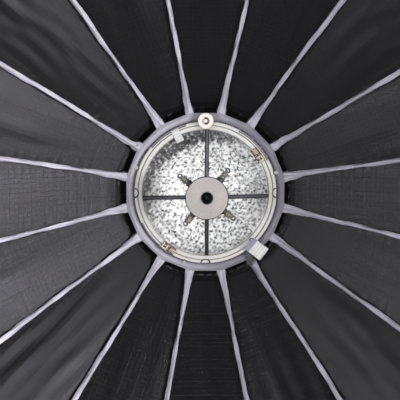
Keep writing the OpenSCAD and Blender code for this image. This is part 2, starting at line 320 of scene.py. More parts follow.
def box_part(center, axes, half, bevel):
    """A box with cut edges: half sizes along three axes."""
    cube = bmesh.new()
    bmesh.ops.create_cube(cube, size=2)
    for vert in cube.verts:
        vert.co = Vector((vert.co.x * half[0], vert.co.y * half[1], vert.co.z * half[2]))
    bmesh.ops.bevel(cube, geom=list(cube.edges), offset=bevel, segments=2, profile=0.6, affect="EDGES")
    x_axis, y_axis, z_axis = (np.array(Vector(axis).normalized()) for axis in axes)
    verts = np.array([np.array(center, float) + vert.co.x * x_axis + vert.co.y * y_axis
                      + vert.co.z * z_axis for vert in cube.verts])
    faces = [tuple(vert.index for vert in face.verts) for face in cube.faces]
    cube.free()
    return verts, faces, np.zeros((len(verts), 2))


# ---------------------------------------------------------------- material helpers
WAVE_UNIT = 0.314159                          # wave scale that gives bands 1 unit apart


def scaled(color, factor, lift=0.0):
    return tuple(min(1, part * factor + lift) for part in color)


class Shader:
    """A node material written as a chain of calls."""

    def __init__(self, name):
        self.material = bpy.data.materials.new(name)
        self.material.use_nodes = True
        self.tree = self.material.node_tree
        self.tree.nodes.clear()
        self.out = self.node("ShaderNodeOutputMaterial")
        self.bsdf = self.node("ShaderNodeBsdfPrincipled")
        self.tree.links.new(self.bsdf.outputs[0], self.out.inputs[0])
        coord = self.node("ShaderNodeTexCoord")
        self.uv = coord.outputs["UV"]
        self.place = coord.outputs["Object"]

    def feed(self, socket, value):
        """Links a socket, or sets its value; a colour may leave out its alpha."""
        if isinstance(value, bpy.types.NodeSocket):
            self.tree.links.new(value, socket)
        elif socket.type == "RGBA" and len(value) == 3:
            socket.default_value = tuple(value) + (1,)
        else:
            socket.default_value = value

    def node(self, kind, props=None, **inputs):
        """A node; inputs go by name with _ for a space, or by number as i0, i1."""
        node = self.tree.nodes.new(kind)
        for key, value in (props or {}).items():
            setattr(node, key, value)
        for key, value in inputs.items():
            numbered = key[0] == "i" and key[1:].isdigit()
            self.feed(node.inputs[int(key[1:]) if numbered else key.replace("_", " ")], value)
        return node

    def math(self, operation, a, b=0.0, clamp=False):
        props = {"operation": operation, "use_clamp": clamp}
        return self.node("ShaderNodeMath", props, i0=a, i1=b).outputs[0]

    def add(self, a, b):
        return self.math("ADD", a, b)

    def sub(self, a, b):
        return self.math("SUBTRACT", a, b)

    def times(self, a, b):
        return self.math("MULTIPLY", a, b)

    def weighted(self, *terms):
        """Sum of (value, weight) pairs."""
        first = self.times(*terms[0])
        return first if len(terms) == 1 else self.add(first, self.weighted(*terms[1:]))

    def map(self, vector, scale=(1, 1, 1), move=(0, 0, 0), turn=(0, 0, 0)):
        return self.node("ShaderNodeMapping", Vector=vector, Scale=scale, Location=move,
                         Rotation=turn).outputs[0]

    def noise(self, vector, scale=1.0, detail=2.0, rough=0.5, stretch=None):
        if stretch:
            vector = self.map(vector, scale=stretch)
        return self.node("ShaderNodeTexNoise", Vector=vector, Scale=scale, Detail=detail,
                         Roughness=rough).outputs["Fac"]

    def wave(self, vector, scale, direction):
        return self.node("ShaderNodeTexWave", {"bands_direction": direction}, Vector=vector,
                         Scale=scale).outputs["Fac"]

    def mix(self, share, a, b):
        return self.node("ShaderNodeMix", {"data_type": "RGBA"}, i0=share, i6=a, i7=b).outputs[2]

    def tint(self, base, color, mask, amount, clamp=False):
        """base moved to color by mask times amount."""
        return self.mix(self.math("MULTIPLY", mask, amount, clamp), base, color)

    def bump(self, height, strength, distance):
        return self.node("ShaderNodeBump", Height=height, Strength=strength,
                         Distance=distance).outputs[0]

    def remap(self, value, span=(0.3, 0.7), to=(0.0, 1.0), props=None):
        return self.node("ShaderNodeMapRange", props, i0=value, i1=span[0], i2=span[1],
                         i3=to[0], i4=to[1]).outputs[0]

    def split(self, vector):
        return self.node("ShaderNodeSeparateXYZ", Vector=vector).outputs

    def length(self, vector):
        return self.node("ShaderNodeVectorMath", {"operation": "LENGTH"}, i0=vector).outputs["Value"]

    def attribute(self, name):
        return self.node("ShaderNodeAttribute", {"attribute_name": name}).outputs["Fac"]

    def pointiness(self):
        return self.node("ShaderNodeNewGeometry").outputs["Pointiness"]

    def hub(self, axes):
        """The point's hub-frame coordinates in mm, for axes such as "xyz"."""
        parts = self.split(self.place)
        found = []
        for axis in axes:
            if axis == "z":
                found.append(self.sub(self.times(parts[1], -1000.0), SHADER_HUB_DEPTH))
            else:
                found.append(self.times(parts["x y".index(axis)], 1000.0))
        return found

    def away(self, x, y, center_x=0.0, center_y=0.0):
        """Distance in the hub plane from a centre."""
        x_off, y_off = self.sub(x, center_x), self.sub(y, center_y)
        squares = self.add(self.times(x_off, x_off), self.times(y_off, y_off))
        return self.math("SQRT", squares)

    def where(self, *tests):
        """Product of masks; a test (value, side, edge, soft) is a step of half-width soft."""
        product = None
        for test in tests:
            if isinstance(test, tuple):
                value, side, edge, soft = test
                test = self.remap(value, span=(edge - soft, edge + soft))
                if side == "<":
                    test = self.sub(1.0, test)
            product = test if product is None else self.times(product, test)
        return product

    def grazing(self, start, end):
        """0 where the surface faces the viewer, 1 where it turns away."""
        facing = self.node("ShaderNodeLayerWeight", Blend=0.5).outputs["Facing"]
        return self.remap(facing, span=(start, end))

    def weave(self, pitch):
        """Height of a plain weave, pitch in mm."""
        return self.times(self.wave(self.uv, WAVE_UNIT / pitch, "X"),
                          self.wave(self.uv, WAVE_UNIT / pitch, "Y"))

    def ripstop(self, spacing):
        """Thin lines of a square grid, spacing in mm."""
        x, y = [self.math("PINGPONG", self.math("DIVIDE", self.split(self.uv)[i], spacing), 0.5)
                for i in (0, 1)]
        slope = self.times(self.math("MINIMUM", x, y), 14.0)
        return self.math("SUBTRACT", 1.0, slope, clamp=True)

    def stripe(self, value, center, sharpness):
        slope = self.times(self.math("ABSOLUTE", self.sub(value, center)), sharpness)
        return self.math("SUBTRACT", 1.0, slope, clamp=True)

    def dashes(self, value, pitch, gap):
        return self.math("GREATER_THAN", self.math("FRACT", self.math("DIVIDE", value, pitch)), gap)

    def finish(self, **inputs):
        """Sets the surface's inputs and gives the material."""
        for key, value in inputs.items():
            self.feed(self.bsdf.inputs[key.replace("_", " ")], value)
        return self.material


# ---------------------------------------------------------------- cloth materials
# UVs of the cloth run in mm: u across and v along a piece.
def satin_lining():
    mat = Shader("satin_lining")
    weave, grid = mat.weave(pitch=0.55), mat.ripstop(spacing=4.6)
    broad = mat.noise(mat.uv, detail=3.0, rough=0.55, stretch=(0.018, 0.004, 1))
    streak = mat.noise(mat.uv, detail=3.0, rough=0.6, stretch=(0.16, 0.005, 1))
    fine = mat.noise(mat.uv, rough=0.6, stretch=(1.3, 1.3, 1))
    base = mat.mix(mat.remap(broad), (0.0008, 0.00076, 0.0009), (0.0015, 0.0014, 0.0017))
    base = mat.tint(base, (0.0056, 0.0054, 0.0062), mask=grid, amount=0.40)
    base = mat.tint(base, (0.0040, 0.0040, 0.0044), mask=mat.remap(fine, span=(0.45, 0.75)), amount=0.25)
    rough = mat.remap(mat.weighted((streak, 0.75), (fine, 0.25)), to=(0.30, 0.40))
    height = mat.weighted((weave, 0.35), (grid, 0.5), (streak, 1.1))
    return mat.finish(Base_Color=base, Roughness=rough, Specular_IOR_Level=0.50,
                      Specular_Tint=(0.93, 0.92, 1.0),
                      Normal=mat.bump(height, strength=0.40, distance=0.0006))


def skirt_inside():
    """Unlit inner side of the skirt behind the throat ring."""
    mat = Shader("skirt_inside")
    tone = mat.noise(mat.uv, detail=3.0, rough=0.6, stretch=(0.2, 0.1, 1))
    return mat.finish(
        Base_Color=mat.mix(mat.remap(tone), (0.0025, 0.0025, 0.003), (0.0055, 0.0055, 0.006)),
        Roughness=mat.remap(tone, to=(0.75, 0.9)), Specular_IOR_Level=0.12,
        Normal=mat.bump(mat.weave(pitch=0.5), strength=0.4, distance=0.0006))


def ripstop_outer():
    mat = Shader("ripstop_outer")
    weave, grid = mat.weave(pitch=0.5), mat.ripstop(spacing=6.2)
    broad = mat.noise(mat.uv, detail=4.0, rough=0.6, stretch=(0.012, 0.006, 1))
    dust = mat.noise(mat.uv, detail=4.0, rough=0.65, stretch=(0.09, 0.05, 1))
    base = mat.mix(mat.remap(broad), (0.011, 0.011, 0.012), (0.020, 0.020, 0.0215))
    base = mat.tint(base, (0.038, 0.038, 0.040), mask=grid, amount=0.35)
    base = mat.tint(base, (0.055, 0.053, 0.050), mask=mat.remap(dust, span=(0.55, 0.8)), amount=0.28)
    height = mat.weighted((weave, 0.4), (grid, 0.6))
    return mat.finish(Base_Color=base, Roughness=mat.remap(dust, to=(0.50, 0.68)),
                      Specular_IOR_Level=0.45, Sheen_Weight=0.18, Sheen_Roughness=0.5,
                      Sheen_Tint=(0.7, 0.7, 0.75),
                      Normal=mat.bump(height, strength=0.45, distance=0.0006))


def sleeve_cloth(name, dark, light, rough=0.5):
    """Coated lilac-grey twill with painted shade: in the creases, at the edges that turn from view, and
    darker toward the lower right.
    """
    mat = Shader(name)
    twill = mat.wave(mat.map(mat.uv, turn=(0, 0, 0.75)), scale=0.62, direction="X")
    weft = mat.wave(mat.uv, scale=0.5, direction="Y")
    blot = mat.noise(mat.uv, detail=3.0, rough=0.6, stretch=(0.10, 0.035, 1))
    fine = mat.noise(mat.uv, rough=0.6, stretch=(1.1, 0.9, 1))
    base = mat.mix(mat.remap(blot), dark, light)
    base = mat.tint(base, scaled(dark, 0.62), mask=mat.remap(fine, span=(0.5, 0.8)), amount=0.18)
    base = mat.tint(base, scaled(light, 1.25), mask=twill, amount=0.07)
    # Painted shade: darker toward the lower right.
    x, y = mat.hub("xy")
    shade = mat.remap(mat.sub(x, mat.times(y, 0.35)), span=(-80, 80))
    base = mat.tint(base, scaled(dark, 0.3), mask=shade, amount=0.34)
    # Painted shade in the creases and on the open cuff's dark end.
    base = mat.tint(base, (0.016, 0.0155, 0.020), mask=mat.attribute("crease"),
                    amount=mat.remap(fine, span=(0.3, 0.6), to=(0.75, 1.0)), clamp=True)
    # Painted shade at the edges where the sleeve turns from view.
    base = mat.tint(base, scaled(dark, 0.12), mask=mat.grazing(0.66, 0.92), amount=0.8)
    height = mat.weighted((twill, 0.5), (weft, 0.25), (blot, 1.2))
    return mat.finish(Base_Color=base, Roughness=mat.remap(fine, to=(rough - 0.06, rough + 0.1)),
                      Specular_IOR_Level=0.45, Sheen_Weight=0.25, Sheen_Roughness=0.4,
                      Sheen_Tint=(0.85, 0.84, 0.95),
                      Normal=mat.bump(height, strength=0.35, distance=0.0005))


def binding_cloth():
    """A broad inner band, a stitched line and a darker outer hem, with painted shade toward the right and
    a painted shadow along the inner edge. v runs outward.
    """
    mat = Shader("binding_cloth")
    around, outward = mat.split(mat.uv)[:2]
    twill = mat.wave(mat.map(mat.uv, turn=(0, 0, 0.75)), scale=0.62, direction="X")
    blot = mat.noise(mat.uv, detail=3.0, rough=0.6, stretch=(0.05, 0.12, 1))
    fine = mat.noise(mat.uv, rough=0.6, stretch=(1.1, 0.9, 1))
    line = mat.stripe(outward, center=5.1, sharpness=3.2)
    dash = mat.dashes(around, pitch=2.6, gap=0.3)
    base = mat.mix(mat.remap(blot), (0.300, 0.292, 0.340), (0.390, 0.381, 0.438))
    base = mat.tint(base, (0.26, 0.256, 0.29), mask=mat.remap(outward, span=(4.9, 5.4)), amount=0.25)
    # Painted shade: darker toward the right.
    x, y = mat.hub("xy")
    shade = mat.remap(mat.sub(x, mat.times(y, 0.15)), span=(-45, 45))
    base = mat.tint(base, (0.105, 0.102, 0.120), mask=shade, amount=0.72)
    # Painted shadow along the inner edge, next to the cream ring.
    base = mat.tint(base, (0.20, 0.195, 0.225), amount=0.4,
                    mask=mat.remap(outward, span=(0.4, 1.6), to=(1, 0)))
    base = mat.tint(base, (0.16, 0.155, 0.185), mask=mat.remap(fine, span=(0.5, 0.8)), amount=0.2)
    stitches = mat.times(line, mat.remap(dash, span=(0, 1), to=(0.7, 1)))
    base = mat.tint(base, (0.075, 0.073, 0.09), mask=stitches, amount=0.75)
    height = mat.add(mat.times(twill, 0.4), mat.sub(mat.times(blot, 1.0), mat.times(line, 1.6)))
    return mat.finish(Base_Color=base, Roughness=mat.remap(fine, to=(0.40, 0.56)),
                      Specular_IOR_Level=0.45, Sheen_Weight=0.2, Sheen_Roughness=0.4,
                      Sheen_Tint=(0.85, 0.84, 0.95),
                      Normal=mat.bump(height, strength=0.4, distance=0.0005))


def seam_ribbon():
    """Ribbed tape with a dashed stitch line along each edge."""
    mat = Shader("seam_ribbon")
    ribbing = mat.wave(mat.uv, scale=0.42, direction="Y")
    across, along = mat.split(mat.uv)[:2]
    line = mat.stripe(mat.math("ABSOLUTE", across), center=4.4, sharpness=1.8)
    stitches = mat.times(line, mat.dashes(along, pitch=3.4, gap=0.28))
    blot = mat.noise(mat.uv, detail=3.0, rough=0.6, stretch=(0.1, 0.02, 1))
    base = mat.mix(mat.remap(blot), (0.014, 0.014, 0.015), (0.026, 0.026, 0.028))
    base = mat.tint(base, (0.07, 0.07, 0.075), mask=stitches, amount=0.7)
    height = mat.weighted((ribbing, 0.6), (stitches, 1.4))
    return mat.finish(Base_Color=base, Roughness=mat.remap(blot, to=(0.55, 0.7)),
                      Sheen_Weight=0.25, Sheen_Roughness=0.4,
                      Normal=mat.bump(height, strength=0.5, distance=0.0006))


def webbing(name, dark, light, pitch, fuzz_scale, rib_shade, fuzz_shade, fuzz_height):
    """Coarse strap weave with cross ribs and fuzz."""
    mat = Shader(name)
    warp = mat.wave(mat.uv, WAVE_UNIT / pitch, "X")
    weft = mat.wave(mat.map(mat.uv, move=(0.4, 0.2, 0)), WAVE_UNIT / (pitch * 0.7), "Y")
    fuzz = mat.noise(mat.uv, scale=fuzz_scale, detail=4.0, rough=0.75)
    blot = mat.noise(mat.uv, scale=0.12, detail=3.0, rough=0.6)
    ribbing = mat.wave(mat.uv, WAVE_UNIT / 3.0, "Y")
    base = mat.mix(mat.remap(blot), dark, light)
    base = mat.tint(base, scaled(dark, 0.55), mask=mat.sub(1.0, warp), amount=0.22)
    base = mat.tint(base, scaled(dark, 0.42), mask=mat.remap(ribbing, span=(0.5, 0.15)), amount=rib_shade)
    base = mat.tint(base, scaled(dark, 0.5), mask=mat.remap(fuzz, span=(0.5, 0.8)), amount=fuzz_shade)
    height = mat.weighted((warp, 0.8), (weft, 0.4), (fuzz, fuzz_height))
    return mat.finish(Base_Color=base, Roughness=0.82, Sheen_Weight=0.3, Sheen_Roughness=0.5,
                      Normal=mat.bump(height, strength=0.6, distance=0.0006))


# ---------------------------------------------------------------- hard materials
def metal(name, dark, light, rough, turned=None, scratch=0.3, metallic=1.0, wear=None, painted_shade=None):
    """Fine grain, broad tones and hairlines; turned rings, edge wear and painted shade if asked."""
    mat = Shader(name)
    blot = mat.noise(mat.place, scale=35.0, detail=4.0, rough=0.6)
    fine = mat.noise(mat.place, scale=900.0, rough=0.6)
    hair = mat.noise(mat.map(mat.place, scale=(60, 900, 900), turn=(0.4, 0.8, 0.3)), detail=1.0)
    base = mat.mix(mat.remap(blot), dark, light)
    base = mat.tint(base, scaled(light, 1.5, lift=0.05), mask=mat.remap(hair, span=(0.62, 0.72)),
                    amount=scratch)
    base = mat.tint(base, scaled(dark, 0.7), mask=mat.remap(fine, span=(0.45, 0.75)), amount=0.35)
    height = mat.weighted((fine, 0.6), (hair, 0.3))
    if turned:
        radius = mat.length(mat.map(mat.place, scale=(1, 0, 1)))
        ring = mat.math("SINE", mat.times(radius, turned))
        spread = mat.node("ShaderNodeCombineXYZ", X=mat.times(radius, 2500.0)).outputs[0]
        uneven = mat.noise(spread, rough=0.6)
        height = mat.add(height, mat.weighted((ring, 0.25), (uneven, 0.5)))
        base = mat.tint(base, scaled(dark, 0.72), mask=uneven, amount=0.22)
    if wear:
        base = mat.tint(base, wear, mask=mat.remap(mat.pointiness(), span=(0.52, 0.58)),
                        amount=mat.remap(blot, span=(0.35, 0.6), to=(0.2, 1)))
    if painted_shade:
        base = painted_shade(mat, base)
    return mat.finish(Base_Color=base, Metallic=metallic, Specular_IOR_Level=0.5,
                      Roughness=mat.remap(fine, span=(0.25, 0.75), to=(rough - 0.06, rough + 0.08)),
                      Normal=mat.bump(height, strength=0.22, distance=0.0004))


def paint(name, dark, light, rough, chip=None, speckle=0.0, coat=0.0, hollow_dark=0.25, scale=1.0,
          painted_shade=None):
    """Sprayed or moulded surface: orange peel, darker in hollows, chips on edges, and painted shade if
    asked.
    """
    mat = Shader(name)
    blot = mat.noise(mat.place, scale=40.0 * scale, detail=4.0, rough=0.6)
    peel = mat.noise(mat.place, scale=900.0 * scale)
    spots = mat.noise(mat.place, scale=420.0 * scale, rough=0.7)
    pointiness = mat.pointiness()
    base = mat.mix(mat.remap(blot), dark, light)
    hollow = mat.remap(pointiness, span=(0.49, 0.44))
    base = mat.tint(base, scaled(dark, 0.4), mask=hollow, amount=hollow_dark)
    if speckle:
        base = mat.tint(base, scaled(dark, 0.45), mask=mat.remap(spots, span=(0.62, 0.72)), amount=speckle)
    if chip:
        base = mat.tint(base, chip, mask=mat.remap(pointiness, span=(0.53, 0.60)),
                        amount=mat.remap(spots, span=(0.42, 0.6)))
    if painted_shade:
        base = painted_shade(mat, base)
    return mat.finish(Base_Color=base, Roughness=mat.remap(blot, to=(rough - 0.05, rough + 0.08)),
                      Specular_IOR_Level=0.5, Coat_Weight=coat, Coat_Roughness=0.2,
                      Normal=mat.bump(mat.add(peel, mat.times(spots, 0.4)), strength=0.12,
                                      distance=0.0004))


def hammered_bowl():
    """Bright aluminium. The mesh carries its dents, the painted dark reflections in them, and a painted
    reflection of the dark cover on one side.
    """
    mat = Shader("hammered_bowl")
    flat = mat.map(mat.place, scale=(1, 0.35, 1))
    grain = mat.noise(flat, scale=330.0, detail=3.0, rough=0.65)
    haze = mat.noise(flat, scale=260.0, detail=3.0, rough=0.6)
    fleck, mirror = mat.attribute("fleck"), mat.attribute("mirror")
    base = mat.mix(mat.remap(grain), (0.86, 0.86, 0.855), (0.97, 0.97, 0.965))
    base = mat.tint(base, (0.44, 0.445, 0.45), mask=mat.remap(haze, span=(0.46, 0.62)), amount=0.26)
    # Painted reflection of the dark cover.
    base = mat.tint(base, (0.060, 0.061, 0.063), mask=mirror, amount=0.94, clamp=True)
    # Painted dark reflections in the dents.
    base = mat.tint(base, (0.022, 0.023, 0.025), mask=fleck, clamp=True,
                    amount=mat.remap(grain, span=(0.25, 0.5), to=(0.8, 1.0)))
    return mat.finish(Base_Color=base, Roughness=mat.remap(grain, to=(0.26, 0.40)),
                      Metallic=mat.remap(fleck, span=(0.0, 1.0), to=(0.10, 0.4)),
                      Normal=mat.bump(grain, strength=0.25, distance=0.0005))


# Painted shade on the hard parts: masks are laid out in hub-frame mm as tests (value, side, edge,
# softness).
POCKET_DISTANCE = 75.3                        # the adapter's pockets from the hub axis
KNOB_Y = 74.7                                 # the lock knob's centre, above the hub axis


def adapter_painted_shade(mat, base):
    """Painted shade: dark pocket outlines and relief floors, a grey rim groove and darker walls; also a
    violet-grey shelf.
    """
    x, y, z = mat.hub("xyz")
    radius = mat.away(x, y)
    patchiness = mat.noise(mat.place, scale=260.0, detail=3.0, rough=0.6)
    front = mat.where((z, ">", -3.0, 0.4), (radius, ">", 69.0, 0.2))
    groove = mat.where((z, ">", 3.0, 0.2), (z, "<", 4.4, 0.5),
                       (radius, ">", 69.7, 0.15), (radius, "<", 71.4, 0.15))
    wall = mat.where((z, ">", 1.9, 0.2), (z, "<", 4.3, 0.4), (radius, ">", 71.9, 0.2),
                     mat.grazing(0.25, 0.6))
    inner = mat.where((radius, "<", 66.75, 0.2), (z, ">", 2.0, 0.3), (z, "<", 4.9, 0.3))
    # Painted shade in the groove and on the inner and outer walls, near-black below the front relief.
    base = mat.tint(base, (0.16, 0.15, 0.14), mask=groove, amount=mat.remap(patchiness, to=(0.45, 0.85)))
    base = mat.tint(base, (0.13, 0.12, 0.115), mask=inner, amount=0.8)
    base = mat.tint(base, (0.10, 0.095, 0.09), mask=wall, amount=0.7)
    base = mat.mix(mat.where(front, (z, "<", 2.0, 0.3)), base, (0.012, 0.011, 0.011))
    # Painted shadow round the pockets.
    pockets = None
    for turn_x, turn_y in ((1, 0), (-1, 0), (0, 1), (0, -1)):
        off = mat.away(x, y, POCKET_DISTANCE * turn_x, POCKET_DISTANCE * turn_y)
        outline = mat.where((off, ">", 4.3, 0.15), (off, "<", 5.95, 0.15), front)
        pockets = outline if pockets is None else mat.math("MAXIMUM", pockets, outline)
    base = mat.tint(base, (0.020, 0.019, 0.018), mask=pockets,
                    amount=mat.remap(patchiness, span=(0.3, 0.6), to=(0.8, 1.0)))
    shelf = mat.where((z, ">", 0.85, 0.15), (z, "<", 1.65, 0.2), (radius, ">", 73.1, 0.2))
    return mat.mix(shelf, base, (0.22, 0.215, 0.25))


def knob_face(mat, base):
    """Painted shade: two dark holes and a tan recess darker on its right; also a pale boss and a darker
    rim.
    """
    x, y, z = mat.hub("xyz")
    off = mat.away(x, y, 0.0, KNOB_Y)
    # Painted shade in the recess, darker on its right.
    recess = mat.where((z, ">", 10.8, 0.2), (off, ">", 1.75, 0.12), (off, "<", 3.95, 0.12))
    side = mat.remap(x, span=(-1.6, 1.4))
    base = mat.tint(base, (0.15, 0.085, 0.06), mask=recess,
                    amount=mat.remap(side, span=(0, 1), to=(0.25, 0.95)))
    # Painted shade: the two holes near-black.
    for shift in (2.66, -2.66):
        hole = mat.away(x, y, 0.35, KNOB_Y + shift)
        mask = mat.where((hole, "<", 1.65, 0.25), (z, ">", 9.0, 0.2), (z, "<", 12.1, 0.1))
        base = mat.mix(mask, base, (0.012, 0.007, 0.006))
    rim = mat.where((off, ">", 7.75, 0.15), (z, ">", 9.0, 0.3))
    return mat.tint(base, (0.36, 0.31, 0.25), mask=rim, amount=0.45)


def disc_edge(mat, base):
    # Painted shade: a near-black band round the disc's edge.
    radius = mat.away(*mat.hub("xy"))
    return mat.mix(mat.where((radius, ">", 19.95, 0.2)), base, (0.018, 0.018, 0.018))


def spoke_edge(mat, base):
    # Painted shade: near-black where the spoke turns away from the view.
    return mat.mix(mat.grazing(0.30, 0.50), base, (0.004, 0.004, 0.005))


# ---------------------------------------------------------------- the materials
LINING = satin_lining()
OUTER = ripstop_outer()
SHADE = skirt_inside()
RIBBON = seam_ribbon()
SLEEVE = sleeve_cloth("sleeve_cloth", dark=(0.375, 0.366, 0.418), light=(0.49, 0.48, 0.545))
# A near-black copy of the sleeve cloth: painted shade inside the open cuff.
SLEEVE_SHADED = sleeve_cloth("sleeve_inside_painted_shade", dark=(0.02, 0.02, 0.024), light=(0.035, 0.035, 0.042),
                         rough=0.8)
BINDING = binding_cloth()
ENAMEL = paint("cream_enamel", dark=(0.46, 0.452, 0.425), light=(0.55, 0.54, 0.51), rough=0.34,
               chip=(0.42, 0.41, 0.40), speckle=0.25, coat=0.15, painted_shade=adapter_painted_shade)
IVORY = paint("ivory_plastic", dark=(0.60, 0.575, 0.52), light=(0.69, 0.665, 0.61), rough=0.36,
              speckle=0.18, hollow_dark=0.6, painted_shade=knob_face)
BOWL = hammered_bowl()
DISC = metal("disc_satin_metal", dark=(0.262, 0.247, 0.238), light=(0.318, 0.300, 0.288),
             rough=0.44, turned=9000.0, scratch=0.12, metallic=0.35, painted_shade=disc_edge)
HUB_METAL = metal("hub_metal", dark=(0.10, 0.10, 0.105), light=(0.15, 0.148, 0.15), rough=0.42,
                  scratch=0.2, metallic=0.8)
SPOKE = metal("spoke_gunmetal", dark=(0.085, 0.094, 0.118), light=(0.135, 0.147, 0.178),
              rough=0.36, scratch=0.2, metallic=0.2, wear=(0.22, 0.22, 0.24), painted_shade=spoke_edge)
PIN = metal("pin_knurled", dark=(0.125, 0.113, 0.098), light=(0.23, 0.21, 0.185), rough=0.36,
            scratch=0.25, metallic=0.5, wear=(0.42, 0.39, 0.35))
# Painted shade: the pins' feet by the disc are near-black.
PIN_BASE_SHADE = paint("pin_base_painted_shade", dark=(0.007, 0.007, 0.0075), light=(0.014, 0.014, 0.015),
                 rough=0.5, chip=(0.12, 0.12, 0.12))
WIRE = metal("wire_dark_steel", dark=(0.035, 0.033, 0.03), light=(0.08, 0.075, 0.07), rough=0.35,
             metallic=0.4)
STEEL = metal("screw_steel", dark=(0.26, 0.26, 0.27), light=(0.38, 0.38, 0.39), rough=0.45,
              scratch=0.4, metallic=0.6)
# Painted shade: the speed ring is near-black so the gap round the binding stays dark.
SPEED_RING_SHADE = paint("speed_ring_painted_shade", dark=(0.010, 0.010, 0.011), light=(0.018, 0.018, 0.020),
             rough=0.5, chip=(0.16, 0.16, 0.17), scale=1.4)
POWDER = paint("powder_black", dark=(0.013, 0.013, 0.014), light=(0.024, 0.024, 0.026),
               rough=0.55, chip=(0.28, 0.28, 0.29), scale=1.6)
CAP = paint("cap_black_plastic", dark=(0.010, 0.010, 0.011), light=(0.020, 0.020, 0.021),
            rough=0.44, chip=(0.06, 0.06, 0.06), scale=1.2)
ROD = metal("rod_steel", dark=(0.24, 0.24, 0.25), light=(0.36, 0.36, 0.375), rough=0.3,
            scratch=0.4)
SOCKET = paint("socket_black", dark=(0.006, 0.006, 0.0065), light=(0.014, 0.014, 0.015),
               rough=0.5, chip=(0.05, 0.05, 0.05))
CLIP = metal("clip_tan_steel", dark=(0.40, 0.33, 0.255), light=(0.58, 0.50, 0.405), rough=0.40,
             scratch=0.35, metallic=0.15)
CLIP_DARK = metal("clip_bronze", dark=(0.045, 0.030, 0.022), light=(0.10, 0.07, 0.05), rough=0.46,
                  scratch=0.2, metallic=0.2)
WEB = webbing("white_webbing", dark=(0.60, 0.60, 0.59), light=(0.72, 0.72, 0.71), pitch=1.3,
              fuzz_scale=1.1, rib_shade=0.24, fuzz_shade=0.15, fuzz_height=0.3)
PATCH = webbing("hook_patch", dark=(0.20, 0.23, 0.30), light=(0.29, 0.32, 0.39), pitch=1.0,
                fuzz_scale=2.4, rib_shade=0.0, fuzz_shade=0.35, fuzz_height=1.4)


# ---------------------------------------------------------------- canopy surface
# Gore g lies between ribs g and g + 1. across runs -1..1 over a gore, along is mm down the arc.
def half_width(along):
    return arc_point(along, LINER_GAP)[0] * math.sin(HALF_STEP)


def band_width(along):
    """Width of cloth that stays with a rib, so that the rest of the gore closes when folded."""
    radius, z = arc_point(along, LINER_GAP)
    fold = math.radians(FOLD_DEGREES)
    folded = HINGE_RADIUS + (radius - HINGE_RADIUS) * math.cos(fold) - (z - HINGE_Z) * math.sin(fold)
    width, folded_width = radius * math.sin(HALF_STEP), folded * math.sin(HALF_STEP)
    return np.minimum((folded_width - KEEP * width) / (1 - KEEP), width)


def draw_wrinkles(gore):
    """Seven waves as (height, length across, length along, phase, bend)."""
    draw = np.random.default_rng(100 + gore).uniform
    return [(draw(0.25, 0.75), draw(14, 46), draw(90, 320), draw(0, PHASE_MAX), draw(0, PHASE_MAX))
            for _ in range(7)]


WRINKLES = [draw_wrinkles(gore) for gore in range(RIBS)]


def relief(gore, across, along):
    """Inward displacement of a gore."""
    width = half_width(along)
    slack = 1 - across * across
    sag = 0.05 * width * slack * smooth(along, 0, 120)
    waves = 0
    for height, across_length, along_length, phase, bend in WRINKLES[gore % RIBS]:
        sway = 1.3 * np.sin(CYCLE * along / along_length + bend)
        waves = waves + height * np.sin(CYCLE * (across * width) / across_length + phase + sway)
    depth = sag + 0.30 * waves * np.sqrt(np.maximum(slack, 0)) * smooth(along, 10, 160)
    from_seam = width * (1 - np.abs(across))
    pucker = (np.sin(CYCLE * along / 11.0 + 2.0 * np.sin(along / 37.0 + gore))
              * np.exp(-from_seam / 5.0) * (1 - np.exp(-from_seam / 1.2)))
    depth = depth + 0.42 * pucker * smooth(along, 15, 40)
    # the hem at the mouth, then the drawn-in throat edge
    depth = depth + 0.8 * smooth(along, ARC_LENGTH - 31, ARC_LENGTH - 29.5)
    return depth - 0.4 * (1 - smooth(along, CLOTH_START, CLOTH_START + 5))


def cloth_along(across, share):
    """Arc distance at a share 0..1 from throat to mouth; the edge is drawn in between ribs."""
    end = CLOTH_END - 7.0 * (1 - across * across)
    return CLOTH_START + share * (end - CLOTH_START)


def gore_points(gore, across, along, offset=0.0):
    flat_radius, _ = arc_point(along, LINER_GAP)
    radius, z = arc_point(along, LINER_GAP + offset - relief(gore, across, along))
    x = radius * math.cos(HALF_STEP)
    y = across * flat_radius * math.sin(HALF_STEP)
    cos, sin = math.cos(STEP * gore), math.sin(STEP * gore)
    return np.stack([x * cos - y * sin, x * sin + y * cos, z], -1)


def gore_normals(gore, across, along, offset=0.0):
    """Unit normals of the cloth, pointing into the box."""
    reach = 0.25
    turn = reach / np.maximum(half_width(along), 5)
    over = (gore_points(gore, across + turn, along, offset)
            - gore_points(gore, across - turn, along, offset))
    down = (gore_points(gore, across, along + reach, offset)
            - gore_points(gore, across, along - reach, offset))
    normals = np.cross(down, over)
    normals /= np.linalg.norm(normals, axis=-1, keepdims=True)
    inward = np.array([-math.cos(STEP * gore), -math.sin(STEP * gore), 0.9])
    return normals * np.sign(normals @ inward)[..., None]


def find_border(share):
    """across of the border between a rib's band and the gore's wedge, at the same along."""
    across = np.full_like(share, 0.5)
    for _ in range(25):
        along = cloth_along(across, share)
        across = 1 - band_width(along) / half_width(along)
    return np.clip(across, 0.0005, 1)


ROWS = np.concatenate([np.linspace(0, 0.10, 14, endpoint=False),
                       np.linspace(0.10, 0.93, 96, endpoint=False),
                       np.linspace(0.93, 1, 12)])[:, None]
BORDER = find_border(ROWS)


